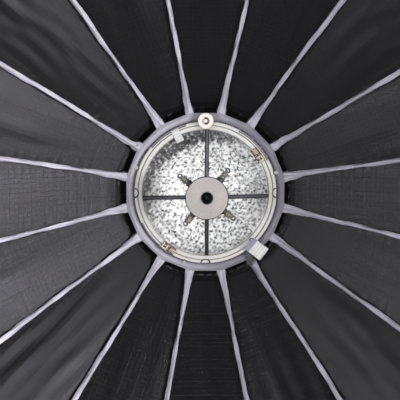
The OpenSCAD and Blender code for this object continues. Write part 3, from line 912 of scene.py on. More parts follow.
# ---------------------------------------------------------------- canopy pieces
def canopy_band(rib):
    """The cloth on both sides of a rib: the end of one gore and the start of the next."""
    before, after = (rib - 1) % RIBS, rib % RIBS
    share = np.linspace(0, 1, 6)[None]
    across_l = BORDER + (1 - BORDER) * share
    across_r = -1 + (1 - BORDER) * share
    along_l, along_r = cloth_along(across_l, ROWS), cloth_along(across_r, ROWS)
    skins, normals = [], []
    for offset in (0.0, CLOTH):
        left = gore_points(before, across_l, along_l, offset)
        right = gore_points(after, across_r, along_r, offset)
        seam = (left[:, -1:] + right[:, :1]) / 2
        skins.append(np.concatenate([left[:, :-1], seam, right[:, 1:]], 1))
        left = gore_normals(before, across_l * 0.9999, along_l, offset)
        right = gore_normals(after, across_r * 0.9999, along_r, offset)
        seam = left[:, -1:] + right[:, :1]
        seam /= np.linalg.norm(seam, axis=-1, keepdims=True)
        normals.append(np.concatenate([left[:, :-1], seam, right[:, 1:]], 1))
    # weave coordinates run on from the gore they belong to
    over_l, over_r = across_l * half_width(along_l), across_r * half_width(along_r)
    uv = np.stack([np.concatenate([over_l, over_r[:, 1:]], 1),
                   np.concatenate([along_l, along_r[:, 1:]], 1)], -1)
    band = shell(f"canopy_band_{rib:02d}", skins, uv, [LINING, OUTER, OUTER], normals, flip=True)
    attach(band, f"arm_{rib:02d}")


def canopy_gore(gore):
    """The wedge of a gore between the bands of its two ribs."""
    share = np.linspace(-1, 1, 30)
    across = BORDER * (np.sign(share) * np.abs(share) ** 0.94)[None]
    along = cloth_along(across, ROWS)
    skins = [gore_points(gore, across, along, offset) for offset in (0, CLOTH)]
    normals = [gore_normals(gore, across, along, offset) for offset in (0, CLOTH)]
    uv = np.stack([across * half_width(along), along], -1)
    wedge = shell(f"canopy_gore_{gore:02d}", skins, uv, [LINING, OUTER, OUTER], normals, flip=True)
    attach(wedge, f"panel_{gore:02d}")
    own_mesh(wedge)
    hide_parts(f"gore_{gore:02d}")


# (distance from the seam, lift of the top, lift of the underside) from edge to middle
RIBBON_SECTION = ((6.0, 0.30, 0.02), (5.7, 0.55, 0.04), (2.6, 0.6, 0.05))
RIBBON_MIDDLE = (0.75, 0.12)                  # lifts on the seam itself


def seam_ribbon_strip(rib):
    """Ribbon sewn over the outside of a rib's seam."""
    before, after = (rib - 1) % RIBS, rib % RIBS
    along = CLOTH_START + np.linspace(0.02, 0.995, 90) * (CLOTH_END - CLOTH_START)
    width = half_width(along)
    ones = np.ones_like(along)
    skins = []
    for side in (0, 1):
        section = [(row[0], CLOTH + row[1 + side]) for row in RIBBON_SECTION]
        middle = CLOTH + RIBBON_MIDDLE[side]
        cols = [gore_points(before, 1 - off / width, along, lift) for off, lift in section]
        cols.append((gore_points(before, ones, along, middle)
                     + gore_points(after, -ones, along, middle)) / 2)
        cols += [gore_points(after, -1 + off / width, along, lift) for off, lift in section[::-1]]
        skins.append(np.stack(cols, 1))
    offsets = np.array([row[0] for row in RIBBON_SECTION])
    over = np.concatenate([-offsets, [0], offsets[::-1]])
    ribbon = shell(f"seam_ribbon_{rib:02d}", skins, paired(over, along[:, None]), [RIBBON])
    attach(ribbon, f"arm_{rib:02d}")


for piece_maker in (canopy_band, canopy_gore, seam_ribbon_strip):
    for number in range(1, RIBS + 1):
        piece_maker(number)


# ---------------------------------------------------------------- rib rods
# (radius, height) of the barrel round the hinge pin
HINGE_EYE = [(1.62, -2.5), (3.5, -2.5), (4.0, -2.1), (4.0, 2.1), (3.5, 2.5), (1.62, 2.5)]


def cap_profile():
    """Moulded end cap with four grip rings and a domed end, as (radius, height)."""
    radius = ROD_RADIUS + 2.4
    profile = [(ROD_RADIUS + 0.15, -12.2), (radius - 0.7, -12.2), (radius, -11.4)]
    for i in range(4):
        groove = -9.6 + 2.3 * i
        profile += [(radius, groove - 0.55), (radius - 0.55, groove - 0.25),
                    (radius - 0.55, groove + 0.25), (radius, groove + 0.55)]
    profile.append((radius, 1.6))
    dome = np.linspace(0.15, 1.56, 9)
    return profile + [(radius * math.cos(turn), 1.6 + radius * math.sin(turn)) for turn in dome]


def rib_rod(rib):
    outward, around = axes_at(rib_angle(rib))
    path = in_plane(outward, *arc_point(np.linspace(2.0, ARC_LENGTH, 60)))
    lean = math.radians(TIP_DEGREES)
    rod = assemble(f"rib_rod_{rib:02d}", [ROD, CAP], [
        (0, tube(path, ROD_RADIUS, 14, up=around)),
        (0, lathe(HINGE_EYE, 40, origin=in_plane(outward, HINGE_RADIUS, HINGE_Z), axis=around,
                  closed=True)),
        (1, lathe(cap_profile(), 32, origin=in_plane(outward, *arc_point(ARC_LENGTH)),
                  axis=in_plane(outward, math.sin(lean), math.cos(lean))))])
    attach(rod, f"arm_{rib:02d}")


for number in range(1, RIBS + 1):
    rib_rod(number)

# ---------------------------------------------------------------- rib sleeves
# Stations are mm along the rib's arc; negative ones lie on the throat ring.
# (station, radius, z) of the cuff's centre line, before it meets the rod
CUFF_COURSE = ((-13.5, 75.6, 0.2), (-7.5, 80.4, 0.15), (-5.0, 82.4, 0.25), (-2.0, 85.2, 0.55),
               (1.0, 88.2, 1.0))
OPEN_COURSE = ((-13.5, 75.6, 4.9), (-7.5, 80.6, 4.9), (-5.0, 83.0, 4.6), (-2.0, 85.8, 3.9),
               (1.0, 88.8, 3.4))
# (station, half size) across the rib and toward the viewer
SLEEVE_WIDTH = ((-13.5, 5.0), (-7.5, 5.0), (-5, 4.75), (-1, 4.2), (4, 3.95), (10, 3.75), (18, 3.3),
                (30, 2.7), (50, 2.2), (100, 2.1), (150, 2.45), (260, 2.7), (ARC_LENGTH, 2.75))
SLEEVE_HEIGHT = ((-7.5, 0.45), (-5, 0.6), (-3.2, 0.95), (-1, 1.6), (4, 2.3), (10, 2.6), (18, 2.6),
                 (30, 2.45), (60, 2.35), (ARC_LENGTH, 2.7))
OPEN_WIDTH = ((-13.5, 3.6), (-9, 3.9), (-3, 4.1), (4, 4.0), (12, 3.8))
OPEN_HEIGHT = ((-13.5, 2.7), (-9, 2.8), (-3, 2.9), (4, 2.8), (12, 2.6))


def sleeve_course(along, is_open):
    """Centre line over the ring's edge and on to the rod: radius and z."""
    course, lift = (OPEN_COURSE, 1.2) if is_open else (CUFF_COURSE, 0.0)
    near, far = arc_point(6, -1.6), arc_point(12, -0.6)
    course += ((6.0, near[0], near[1] + lift), (12.0, *far))
    on_rod = smooth(along, 8, 16)
    line = []
    for column, rod in zip((1, 2), arc_point(np.maximum(along, -3), -0.2)):
        cuff = lookup(along, [(row[0], row[column]) for row in course])
        line.append(cuff * (1 - on_rod) + rod * on_rod)
        relax(line[-1])
    return line


def sleeve_half_sizes(along, phases, is_open, is_knuckle):
    width, height = lookup(along, SLEEVE_WIDTH), lookup(along, SLEEVE_HEIGHT)
    if is_open:
        closing = smooth(along, 6, 14)
        width = lookup(along, OPEN_WIDTH) * (1 - closing) + width * closing
        height = lookup(along, OPEN_HEIGHT) * (1 - closing) + height * closing
    if is_knuckle:
        width = width + 0.9 * bell(along, -1.5, 4.2) - 0.7 * bell(along, 8, 4.0)
        height = height + 2.4 * bell(along, -1.5, 3.6)
    uneven = 1 + 0.05 * np.sin(along / 9.0 + phases[0]) + 0.04 * np.sin(along / 23.0 + phases[1])
    return width * uneven, height


def sleeve_outline(along, around, signed, phases, twist, is_knuckle):
    """Share of the half sizes: gathered folds at the cuff, then a slowly turning soft triangle.

    along is a column; around and signed (-pi..pi) are rows of angles.
    """
    apex = (twist * np.sin(CYCLE * along / 150.0 + phases[0])
            + 0.35 * np.sin(CYCLE * along / 47.0 + phases[1]))
    in_side = (around - apex) % (2 * math.pi / 3)
    triangle = 0.5 / np.cos(in_side - math.pi / 3)
    share = 0.62 * smooth(along, -2, 16)
    outline = (1 - share) + share * triangle * 1.34
    folds = (0.12 * np.cos(5 * around + phases[0])
             + 0.08 * np.cos(8 * around + phases[1] + 0.08 * along))
    outline = outline + folds * (1 - smooth(along, 6, 34))
    ripple = np.sin(along / 3.3 + 3 * around + phases[0])
    outline = outline + 0.035 * ripple * smooth(along, 10, 40)
    if is_knuckle:
        outline = outline - 0.34 * bell(along, -0.5, 1.9) * bell(signed, -0.35, 0.55)
    return outline


def sleeve_crease_shade(along, signed, phases, gap, is_open, is_knuckle):
    """Painted shade in the creases, 0..1; the second lies a signed gap round from the first."""
    first = 0.55 * np.sin(along / 31.0 + phases[0]) - 0.15
    second = first + gap
    fading = bell(along, 0, 34.0) * (0.6 + 0.4 * np.sin(along / 4.1 + phases[1]))
    crease = 0.62 * bell(signed, first, 0.17) * fading
    crease = crease + (0.40 * bell(signed, second, 0.26) * (0.25 + 0.75 * bell(along, 0, 60.0))
                       * smooth(along, -6, 4))
    crease = crease + 0.30 * bell(along, -3.4, 0.9)
    # Painted shade on the open cuff's end and along one side.
    if is_open:
        mottle = 0.5 + (0.5 * np.sin(along * 2.6 + 3 * np.cos(signed * 3))
                        * np.sin(signed * 6 + along * 0.9))
        crease = crease + (0.80 + 0.3 * mottle) * (1 - smooth(along, -1, 5))
        crease = crease + (0.80 * (1 - smooth(along, 8, 34)) * smooth(-signed, 0.15, 0.55)
                           * (0.65 + 0.35 * mottle))
    # Painted shade in the knuckle's fold.
    if is_knuckle:
        crease = crease + 0.8 * bell(along, -0.3, 1.1) * bell(signed, -0.35, 0.35)
    return np.clip(crease, 0, 1)


def rib_sleeve(rib):
    outward, around = axes_at(rib_angle(rib))
    random = np.random.default_rng(300 + rib)
    phases = random.uniform(0, PHASE_MAX), random.uniform(0, PHASE_MAX)
    twist = random.uniform(0.35, 0.6)
    gap = random.uniform(0.7, 1.2) * (1 if rib % 2 else -1)
    is_open, is_knuckle = rib == OPEN_RIB, rib == KNUCKLE_RIB
    along = np.concatenate([np.linspace(-13.5 if is_open else -7.5, 30, 40, endpoint=False),
                            np.linspace(30, 210, 70, endpoint=False),
                            np.linspace(210, ARC_LENGTH - 13, 70)])
    column = along[:, None]
    radius, z = sleeve_course(along, is_open)
    width, height = sleeve_half_sizes(along, phases, is_open, is_knuckle)
    _, inward = course_axes(radius, z)
    inward = in_plane(outward, inward[:, 0], inward[:, 1])[:, None]
    side = 0 * along
    if is_open:
        side = 1.4 * (1 - smooth(along, -10, 10))
    if is_knuckle:
        side = -1.3 * bell(along, -2, 4.0)
    center = (in_plane(outward, radius, z) + side[:, None] * around)[:, None]

    sides = 32
    turn = circle(sides)[None]
    signed = (turn + math.pi) % (2 * math.pi) - math.pi
    outline = sleeve_outline(column, turn, signed, phases, twist, is_knuckle)
    over = (outline * np.sin(turn) * width[:, None])[..., None]
    toward = (outline * np.cos(turn) * height[:, None])[..., None]
    verts = (center + over * around + toward * inward).reshape(-1, 3)
    uv = paired(turn * 2.8, column).reshape(-1, 2)
    faces = grid_faces(len(along), sides, wrap=True, flip=True)
    slots = [0] * len(faces)
    if is_open:
        # an inner wall, a lip and a closed end, so that the open cuff shows a dark inside; wall and end
        # take painted shade
        near = along < 10
        wall = center[near] + 0.78 * over[near] * around + 0.74 * toward[near] * inward[near]
        rows, base = len(wall), len(verts)
        verts = np.concatenate([verts, wall.reshape(-1, 3)])
        uv = np.concatenate([uv, uv[:rows * sides]])
        wall_faces = grid_faces(rows, sides, base=base, wrap=True)
        lip = [(j, base + j, base + (j + 1) % sides, (j + 1) % sides) for j in range(sides)]
        last = base + (rows - 1) * sides
        faces += wall_faces + lip + [tuple(range(last, last + sides))]
        slots += [1] * len(wall_faces) + [0] * sides + [1]
    sleeve = make(f"rib_sleeve_{rib:02d}", verts, faces, [SLEEVE, SLEEVE_SHADED], slots, uv)
    crease_shades = sleeve_crease_shade(column, signed, phases, gap, is_open, is_knuckle)
    point_attribute(sleeve, "crease", crease_shades)
    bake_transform(sleeve)
    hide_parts(f"rib_{rib:02d}")


for number in range(1, RIBS + 1):
    rib_sleeve(number)

# ---------------------------------------------------------------- throat
# (share from inner to outer edge, z) round the binding's section
BINDING_SECTION = np.array([
    (0.0, -0.85), (0.0, -0.3), (0.04, 0.15), (0.14, 0.75), (0.34, 1.75), (0.54, 2.45),
    (0.60, 2.40), (0.64, 2.05), (0.70, 2.10), (0.86, 1.65), (0.97, 0.85), (1.0, 0.1),
    (0.985, -0.55), (0.93, -0.85)])
# (radius, z) of the skirt from behind the ring to the canopy
SKIRT_COURSE = np.array([(82.2, -15.6), (84.0, -16.4), (90.0, -15.6), (99.0, -11.2),
                         (106.0, -3.6), (110.6, 4.2), (112.4, 7.6)])


def throat_binding():
    """Cloth ring; its outer hem runs straight from sleeve to sleeve, as a soft polygon."""
    count = 480
    angle = circle(count)
    from_rib = np.abs(((angle / STEP) % 1) - 0.5) * STEP
    corner = 84.9 - 0.5 * bell(from_rib, 0, 0.03)
    edge = corner * math.cos(HALF_STEP) / np.cos(HALF_STEP - from_rib)
    share, height = BINDING_SECTION[:, :1], BINDING_SECTION[:, 1:]
    radius = BINDING_INNER + share * (edge - BINDING_INNER)[None]
    lumps = 0.16 * np.sin(angle * 37 + 1.0) + 0.12 * np.sin(angle * 23)
    z = height + (lumps + 0.22 * bell(from_rib, 0, 0.05))[None] * smooth(height, 0, 1)
    verts = np.stack([radius * np.cos(angle), radius * np.sin(angle), z], -1)
    rows = len(BINDING_SECTION)
    last = (rows - 1) * count
    faces = grid_faces(rows, count, wrap=True, flip=True)
    faces += [(j, (j + 1) % count, last + (j + 1) % count, last + j) for j in range(count)]
    uv = paired(angle * 80, radius - BINDING_INNER)
    ring = make("throat_binding_cloth", verts.reshape(-1, 3), faces, [BINDING],
                uv=uv.reshape(-1, 2))
    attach(ring, "frame")
    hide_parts("throat_binding")


def throat_skirt(rib):
    """One rib's share of the gathered skirt between the ring and the canopy."""
    share = np.linspace(0, 1, 26)
    stations = np.linspace(0, 1, len(SKIRT_COURSE))
    radius, z = (np.interp(share, stations, column) for column in SKIRT_COURSE.T)
    relax(radius)
    relax(z)
    _, normal = course_axes(radius, z)
    down, turn = np.meshgrid(share, np.linspace(-HALF_STEP, HALF_STEP, 25), indexing="ij")
    # straight chords like the gores outside, round at the ring
    chord = math.cos(HALF_STEP) / np.cos(HALF_STEP - np.abs(turn))
    follow = smooth(down, 0.35, 1.0)
    flattened = radius[:, None] * (1 - follow + follow * chord)
    gather = (0.7 * np.cos(turn / HALF_STEP * math.pi * 3) * np.sin(down * math.pi)
              * smooth(down, 0.02, 0.3))
    angle = rib_angle(rib) + turn
    skins = []
    for offset in (0.0, -0.9):
        depth = offset + gather
        moved = flattened + depth * normal[:, :1]
        skins.append(np.stack([moved * np.cos(angle), moved * np.sin(angle),
                               z[:, None] + depth * normal[:, 1:]], -1))
    uv = np.stack([turn * 95, down * 42], -1)
    skirt = shell(f"throat_skirt_{rib:02d}", skins, uv, [SHADE, OUTER, OUTER, LINING], flip=True)
    # the inner side is lining beyond this radius
    for face in skirt.data.polygons:
        center = face.center * 1000
        if face.material_index == 0 and math.hypot(center.x, center.z) > 90.5:
            face.material_index = 3
    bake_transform(skirt)
    if rib == 1:
        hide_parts("throat_skirt")


throat_binding()
for number in range(1, RIBS + 1):
    throat_skirt(number)

# ---------------------------------------------------------------- reflector bowl
BOWL_MOUTH, BOWL_DEPTH, BOWL_RIM_Z = 66.7, 31.0, 2.6
BOWL_HOLE = 15.0
BOWL_SPHERE = (BOWL_MOUTH * BOWL_MOUTH + BOWL_DEPTH * BOWL_DEPTH) / (2 * BOWL_DEPTH)
# (degrees, inner radius) of the painted reflection of the dark cover: top left and down the left
PAINTED_REFLECTION_EDGE = ((40, 67), (55, 60.5), (75, 54.5), (92, 52.5), (110, 50), (128, 50.5), (145, 54),
               (160, 58), (185, 60.5), (215, 61.5), (235, 67))
# (degrees, strength) of that painted reflection
PAINTED_REFLECTION_STRENGTH = ((40, 0.45), (62, 0.85), (95, 1.0), (150, 1.0), (175, 0.8), (235, 0.55))


def bowl_z(radius):
    drop = np.sqrt(BOWL_SPHERE * BOWL_SPHERE - radius * radius)
    return BOWL_RIM_Z - BOWL_DEPTH + BOWL_SPHERE - drop


def scatter(pitch, seed, jitter):
    """Seeds on a shaken triangular grid over the bowl, and the generator that shook them."""
    random = np.random.default_rng(seed)
    x, y = np.meshgrid(np.arange(-74, 75, pitch), np.arange(-74, 75, pitch * 0.866), indexing="ij")
    x = x + (np.arange(x.shape[1]) % 2)[None] * pitch / 2
    seeds = np.stack([x.ravel(), y.ravel()], -1)
    return seeds + random.uniform(-jitter, jitter, (x.size, 2)), random


def nearest(points, seeds):
    """Distance to and index of each point's nearest seed, in chunks to save memory."""
    distance = np.zeros(len(points))
    index = np.zeros(len(points), int)
    for start in range(0, len(points), 3000):
        part = slice(start, start + 3000)
        squares = ((points[part, None] - seeds[None]) ** 2).sum(-1)
        index[part] = np.argmin(squares, 1)
        distance[part] = np.sqrt(squares[np.arange(len(squares)), index[part]])
    return distance, index


def dents(points, pitch, seed, jitter, keep, length, width, lean):
    """Depth 0..1 of separate oval dents; keep is the share of seeds that carry one."""
    seeds, random = scatter(pitch, seed, jitter)
    count = len(seeds)
    depth = np.where(random.random(count) < keep, random.uniform(0.55, 1.0, count), 0.0)
    angle = random.normal(lean, 0.7, count)
    lengths = length * random.uniform(0.7, 1.35, count)
    widths = width * random.uniform(0.75, 1.3, count)
    _, index = nearest(points, seeds)
    x, y = points[:, 0] - seeds[index, 0], points[:, 1] - seeds[index, 1]
    cos, sin = np.cos(angle[index]), np.sin(angle[index])
    lengthwise, sideways = x * cos + y * sin, -x * sin + y * cos
    sideways = sideways + 0.35 * np.sin(lengthwise * 1.9 + index)
    oval = (lengthwise / lengths[index]) ** 2 + (sideways / widths[index]) ** 2
    return depth[index] * np.clip(1.55 * np.exp(-oval) - 0.28, 0, 1)


def hammered_reflector():
    """Spherical dish with soft pebbles and scattered deep dents, all in real relief."""
    rows, cols = 122, 600
    radius, angle = np.meshgrid(np.linspace(BOWL_HOLE, 65.9, rows), circle(cols), indexing="ij")
    x, y = radius * np.cos(angle), radius * np.sin(angle)
    points = np.stack([x.ravel(), y.ravel()], -1)

    big = dents(points, pitch=4.5, seed=7, jitter=1.6, keep=0.88, length=2.25, width=1.2, lean=0.5)
    small = dents(points, pitch=3.2, seed=17, jitter=1.1, keep=0.55, length=1.5, width=0.95,
                  lean=2.2)
    # Dent depth, also painted in the material as dark reflections in the dents.
    fleck = np.maximum(big, 0.66 * small).reshape(x.shape)
    distance, _ = nearest(points, scatter(pitch=3.9, seed=27, jitter=1.3)[0])
    pebbles = np.cos(np.minimum(distance / 2.4, 1) * math.pi / 2).reshape(x.shape)

    # Painted reflection of the dark cover: a crescent at the top left and down the left, a band at the
    # lower right edge, with painted glints in it.
    degrees = (np.degrees(angle) + 360) % 360
    limit = lookup(degrees, PAINTED_REFLECTION_EDGE)
    ragged = (1.7 * np.sin(angle * 23 + 1) * np.sin(radius / 2.3)
              + 1.3 * np.sin(angle * 41 + radius / 3.1))
    crescent = smooth(radius + ragged, limit - 2.0, limit + 2.0)
    seeds, random = scatter(pitch=3.4, seed=37, jitter=1.3)
    count = len(seeds)
    glint = np.where(random.random(count) < 0.62, random.uniform(0.45, 1.0, count), 0)
    distance, index = nearest(points, seeds)
    speck = (glint[index] * bell(distance, 0, 0.95)).reshape(x.shape)
    lower_edge = 0.5 * smooth(radius, 61.5, 64.5) * ((degrees > 235) & (degrees < 320))
    mirror = np.clip(crescent * lookup(degrees, PAINTED_REFLECTION_STRENGTH) + lower_edge, 0, 1)
    mirror = mirror * (1 - 0.85 * speck)

    fade = smooth(radius, 15.4, 18.0) * (1 - smooth(radius, 64.2, 65.7))
    height = (0.30 * pebbles - 0.62 * fleck + 0.25 * speck * crescent) * fade
    fleck = fleck * fade * (1 - 0.75 * crescent * speck)
    surface = np.stack([x, y, bowl_z(radius)], -1)
    normal = np.stack([-x / BOWL_SPHERE, -y / BOWL_SPHERE,
                       np.sqrt(1 - (radius / BOWL_SPHERE) ** 2)], -1)
    front = surface + normal * (height + 0.15)[..., None]
    back = surface - normal * 0.9

    back_start, last = rows * cols, (rows - 1) * cols
    faces = grid_faces(rows, cols, wrap=True)
    faces += grid_faces(rows, cols, base=back_start, wrap=True, flip=True)
    pairs = [(j, (j + 1) % cols) for j in range(cols)]
    faces += [(a, a + back_start, b + back_start, b) for a, b in pairs]
    faces += [(last + a, last + b, last + b + back_start, last + a + back_start) for a, b in pairs]
    verts = np.concatenate([front.reshape(-1, 3), back.reshape(-1, 3)])
    bowl = make("reflector_bowl_hammered", verts, faces, [BOWL])
    point_attribute(bowl, "fleck", fleck)
    point_attribute(bowl, "mirror", mirror)
    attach(bowl, "adapter")
    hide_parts("reflector_bowl")


def bowl_trim():
    """Rolled bead on the rim and a collar round the central hole."""
    bead = [(66.15 + 0.55 * math.cos(turn), 2.55 + 0.55 * math.sin(turn)) for turn in circle(12)]
    edge = bowl_z(BOWL_HOLE)
    collar = [(15.9, edge - 0.2), (15.9, edge + 0.45), (15.5, edge + 0.8), (15.0, edge + 0.8),
              (14.6, edge + 0.4), (14.6, edge - 2.2), (15.2, edge - 2.2), (15.4, edge - 1.0)]
    trim = assemble("reflector_bowl_trim", [STEEL],
                    [(0, lathe(bead, 160, closed=True)), (0, lathe(collar, 72, closed=True))])
    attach(trim, "adapter")


hammered_reflector()
bowl_trim()


# ---------------------------------------------------------------- hub socket and pull pins
def hub_socket():
    """Threaded cup behind the deflector disc."""
    top, bottom = DISC_FRONT - 0.5, DISC_FRONT - 18.2
    thread_pitch = 1.5
    height = top - 0.3
    profile = [(5.9, bottom), (5.9, top), (5.6, top + 0.02), (5.15, height)]
    while height > bottom + 1.5:
        profile += [(4.9, height - 0.35), (4.9, height - 0.6),
                    (5.35, height - 0.95), (5.35, height - 1.15)]
        height -= thread_pitch
    profile += [(4.9, bottom + 0.5), (3.2, bottom + 0.45), (3.0, bottom + 0.1),
                (0.4, bottom + 0.1)]
    socket = assemble("hub_socket_threaded", [SOCKET], [(0, lathe(profile, 64))])
    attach(socket, "adapter")
    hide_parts("socket_insert")


def knurl(radius, angle, height):
    """Diamond relief on the collars' outer surface."""
    diamonds = np.abs(np.sin(angle * 12 + height * 3.2)) * np.abs(np.sin(angle * 12 - height * 3.2))
    return np.where(radius > 3.0, 0.16 * diamonds, 0)


PIN_START = 14.6                              # base of a pin from the hub axis
# (radius, height above PIN_START)
PIN_FOOT = ((1.6, 0.1), (3.1, 0.1), (3.45, 0.5), (3.45, 7.8), (3.1, 8.3), (2.6, 8.5))
PIN_TAIL = ((2.6, 15.0), (2.2, 15.5), (1.5, 15.7), (1.5, 17.2), (1.2, 17.6), (0.1, 17.7))


def pull_pin(number):
    """Radial pin: foot painted near-black as shade, three knurled collars, tail, stem and a split wire
    ring.
    """
    outward, around = axes_at(math.radians(51.5 + 90 * (number - 1)))
    origin = np.array([0, 0, PIN_Z])

    def turned(profile, segments, lift=0.0, bump=None):
        profile = [(radius, lift + height) for radius, height in profile]
        return lathe(profile, segments, origin=origin, axis=outward, bump=bump)

    parts = [(0, turned(PIN_FOOT, 48, lift=PIN_START))]
    for i in range(3):
        start = PIN_START + 9.3 + 2.4 * i
        collar = [(2.6, start - 0.75), (2.6, start - 0.05), (3.1, start)]
        collar += [(3.3, height) for height in np.linspace(start + 0.25, start + 1.35, 8)]
        collar += [(3.1, start + 1.6), (2.6, start + 1.65)]
        parts.append((1, turned(collar, 72, bump=knurl)))
    parts.append((1, turned(PIN_TAIL, 40, lift=PIN_START)))
    parts.append((2, turned([(1.45, 8.6), (1.45, PIN_START + 0.4)], 30)))
    turns, ring_radius, ring_rise = 1.45, 1.95, 0.42
    angle = np.linspace(0, 2 * math.pi * turns, 60)
    ring = (origin + outward * (PIN_START + 18.1)
            + ring_radius * np.cos(angle)[:, None] * outward
            + ring_radius * np.sin(angle)[:, None] * around
            + (ring_rise * (angle / angle.max() - 0.5) * 2)[:, None] * FORWARD)
    parts.append((2, tube(ring, 0.75, 10, up=(0, 0, 1))))
    pin = assemble(f"pull_pin_knurled_{number}", [PIN_BASE_SHADE, PIN, WIRE], parts)
    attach(pin, f"pin_{number}")
    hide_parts(f"pull_pin_{number}")


hub_socket()
for number in range(1, 5):
    pull_pin(number)


# ---------------------------------------------------------------- clips on the bowl's rim
def bowl_clip(letter, degrees, shift):
    """Base plate with a coil spring, a slotted block with a cross pin, and two rivets."""
    outward, around = axes_at(math.radians(degrees))
    axes = (outward, around, FORWARD)

    def spot(x, y, z):
        """x outward, y counterclockwise, z forward."""
        return (x + shift) * outward + y * around + z * FORWARD

    angle = np.linspace(0, 2 * math.pi * 3.4, 130)
    coil = (spot(64.8, 4.6, 8.1)[None] + (2.15 * np.cos(angle))[:, None] * outward
            + (2.15 * np.sin(angle))[:, None] * FORWARD * 0.86
            + ((angle / angle.max() - 0.5) * 5.0)[:, None] * around)
    first_leg, last_leg = -3.2 * outward + 0.2 * FORWARD, 3.0 * around - 1.6 * FORWARD
    spring = np.concatenate([
        [coil[0] + share * first_leg for share in np.linspace(1, 0.08, 6)], coil,
        [coil[-1] + share * last_leg for share in np.linspace(0.08, 1, 6)]])
    cross_pin = [(0.75, -2.9), (0.9, -2.7), (0.9, 2.7), (0.75, 2.9)]
    rivet = [(0.1, 0.95), (0.75, 0.85), (1.05, 0.35), (1.05, -0.2)]
    parts = [(1, box_part(spot(64.9, 0, 6.0), axes, half=(3.9, 7.9, 0.42), bevel=0.3)),
             (0, tube(spring, 0.52, 9, up=around))]
    for y in (-6.6, -1.9):
        parts.append((0, box_part(spot(64.7, y, 8.2), axes, half=(3.1, 0.75, 2.0), bevel=0.3)))
    parts.append((0, box_part(spot(67.1, -4.25, 8.0), axes, half=(0.75, 2.6, 1.8), bevel=0.25)))
    parts.append((2, lathe(cross_pin, 20, origin=spot(63.8, -4.25, 8.4), axis=around, cap=True)))
    for x in (62.9, 66.2):
        parts.append((2, lathe(rivet, 20, origin=spot(x, 0.1, 6.45), axis=FORWARD)))
    clip = assemble("bowl_clip_" + letter, [CLIP, CLIP_DARK, STEEL], parts)
    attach(clip, "adapter")
    if letter == "a":
        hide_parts("bowl_clips")


bowl_clip("a", degrees=36.0, shift=2.2)
bowl_clip("b", degrees=236.0, shift=4.9)


# ---------------------------------------------------------------- straps
def strap_pad(center, normal, around, run, span, half_thick, rise, half_width_):
    """A layer on top of the webbing over a span of its run."""
    inside = (run >= span[0]) & (run <= span[1])
    ridge = center[inside] + (half_thick + rise) * normal[inside]
    over = np.linspace(-half_width_, half_width_, 14)
    drop = 0.25 * (np.abs(over) / half_width_) ** 6
    top = (ridge[:, None] + over[None, :, None] * around
           - drop[None, :, None] * normal[inside][:, None])
    bottom = top - (rise + 0.1) * normal[inside][:, None]
    rows, cols = top.shape[:2]
    count = rows * cols
    border = [*range(cols), *range(2 * cols - 1, count, cols),
              *range(count - 2, count - cols - 1, -1), *range(count - 2 * cols, 0, -cols)]
    faces = grid_faces(rows, cols, flip=True) + grid_faces(rows, cols, base=count)
    faces += [(a, b, b + count, a + count) for a, b in zip(border, border[1:] + border[:1])]
    uv = paired(over, run[inside][:, None]).reshape(-1, 2)
    verts = np.concatenate([top.reshape(-1, 3), bottom.reshape(-1, 3)])
    return verts, faces, np.concatenate([uv, uv])


def strap(name, body, origin, degrees, width, thick, path, patch=None, fold=None):
    """Webbing along (outward, z) points from an origin, with stitch rows.

    patch and fold are spans of the run that carry a hook patch and a second layer.
    """
    outward, around = axes_at(math.radians(degrees))
    path = np.array(path, float)
    knots = np.concatenate([[0], np.cumsum(np.linalg.norm(np.diff(path, axis=0), axis=1))])
    run = np.linspace(0, knots[-1], 70)
    reach, z = (np.interp(run, knots, column) for column in path.T)
    relax(reach)
    relax(z)
    tangent, normal = (in_plane(outward, axes[:, 0], axes[:, 1]) for axes in course_axes(reach, z))
    center = np.array(origin, float) + in_plane(outward, reach, z)

    half_thick, half_wide = thick / 2, width / 2
    cols = 13
    over = [-half_wide + 2 * half_wide * j / (cols - 1) for j in range(cols)]
    edge = [half_thick * (1 if 0 < j < cols - 1 else 0.35) for j in range(cols)]
    section = np.array([*zip(over, edge), *[(x, -y) for x, y in zip(over, edge)][::-1]])
    sides = len(section)
    waves = (0.16 * np.sin(run / 2.4)[:, None]
             * np.cos(section[:, 0] / half_wide * 2.2)[None])
    verts = (center[:, None] + section[None, :, 0][..., None] * around
             + (section[None, :, 1] + waves)[..., None] * normal[:, None])
    last = (len(run) - 1) * sides
    faces = grid_faces(len(run), sides, wrap=True)
    faces += [tuple(range(sides))[::-1], tuple(range(last, last + sides))]
    uv = paired(section[:, 0], run[:, None])
    parts = [(0, (verts.reshape(-1, 3), faces, uv.reshape(-1, 2)))]

    fold_rise = 0.5
    stitch_rows = [knots[-1] * 0.12]
    if patch:
        parts.append((1, strap_pad(center, normal, around, run, patch, half_thick, 0.75,
                                   half_wide - 0.35)))
        stitch_rows = [patch[1] + 0.9, patch[1] + 4.2]
    if fold:
        parts.append((0, strap_pad(center, normal, around, run, fold, half_thick, fold_rise,
                                   half_wide - 0.15)))
        stitch_rows.append(fold[0] + 0.8)
    for row in stitch_rows:
        i = int(np.argmin(np.abs(run - row)))
        on_fold = fold and fold[0] <= run[i] <= fold[1]
        lift = half_thick + 0.12 + (fold_rise if on_fold else 0)
        for y in np.arange(-half_wide + 1.0, half_wide - 1.6, 1.75):
            spot = center[i] + lift * normal[i] + (y + 0.7) * around
            parts.append((0, box_part(spot, (around, tangent[i], normal[i]),
                                      half=(0.58, 0.2, 0.18), bevel=0.08)))
    piece = assemble(name, [WEB, PATCH], parts)
    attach(piece, body)
    return piece


TAB_ORIGIN = (61.3, -64.5, 0)
TAB_DEGREES = -38.0


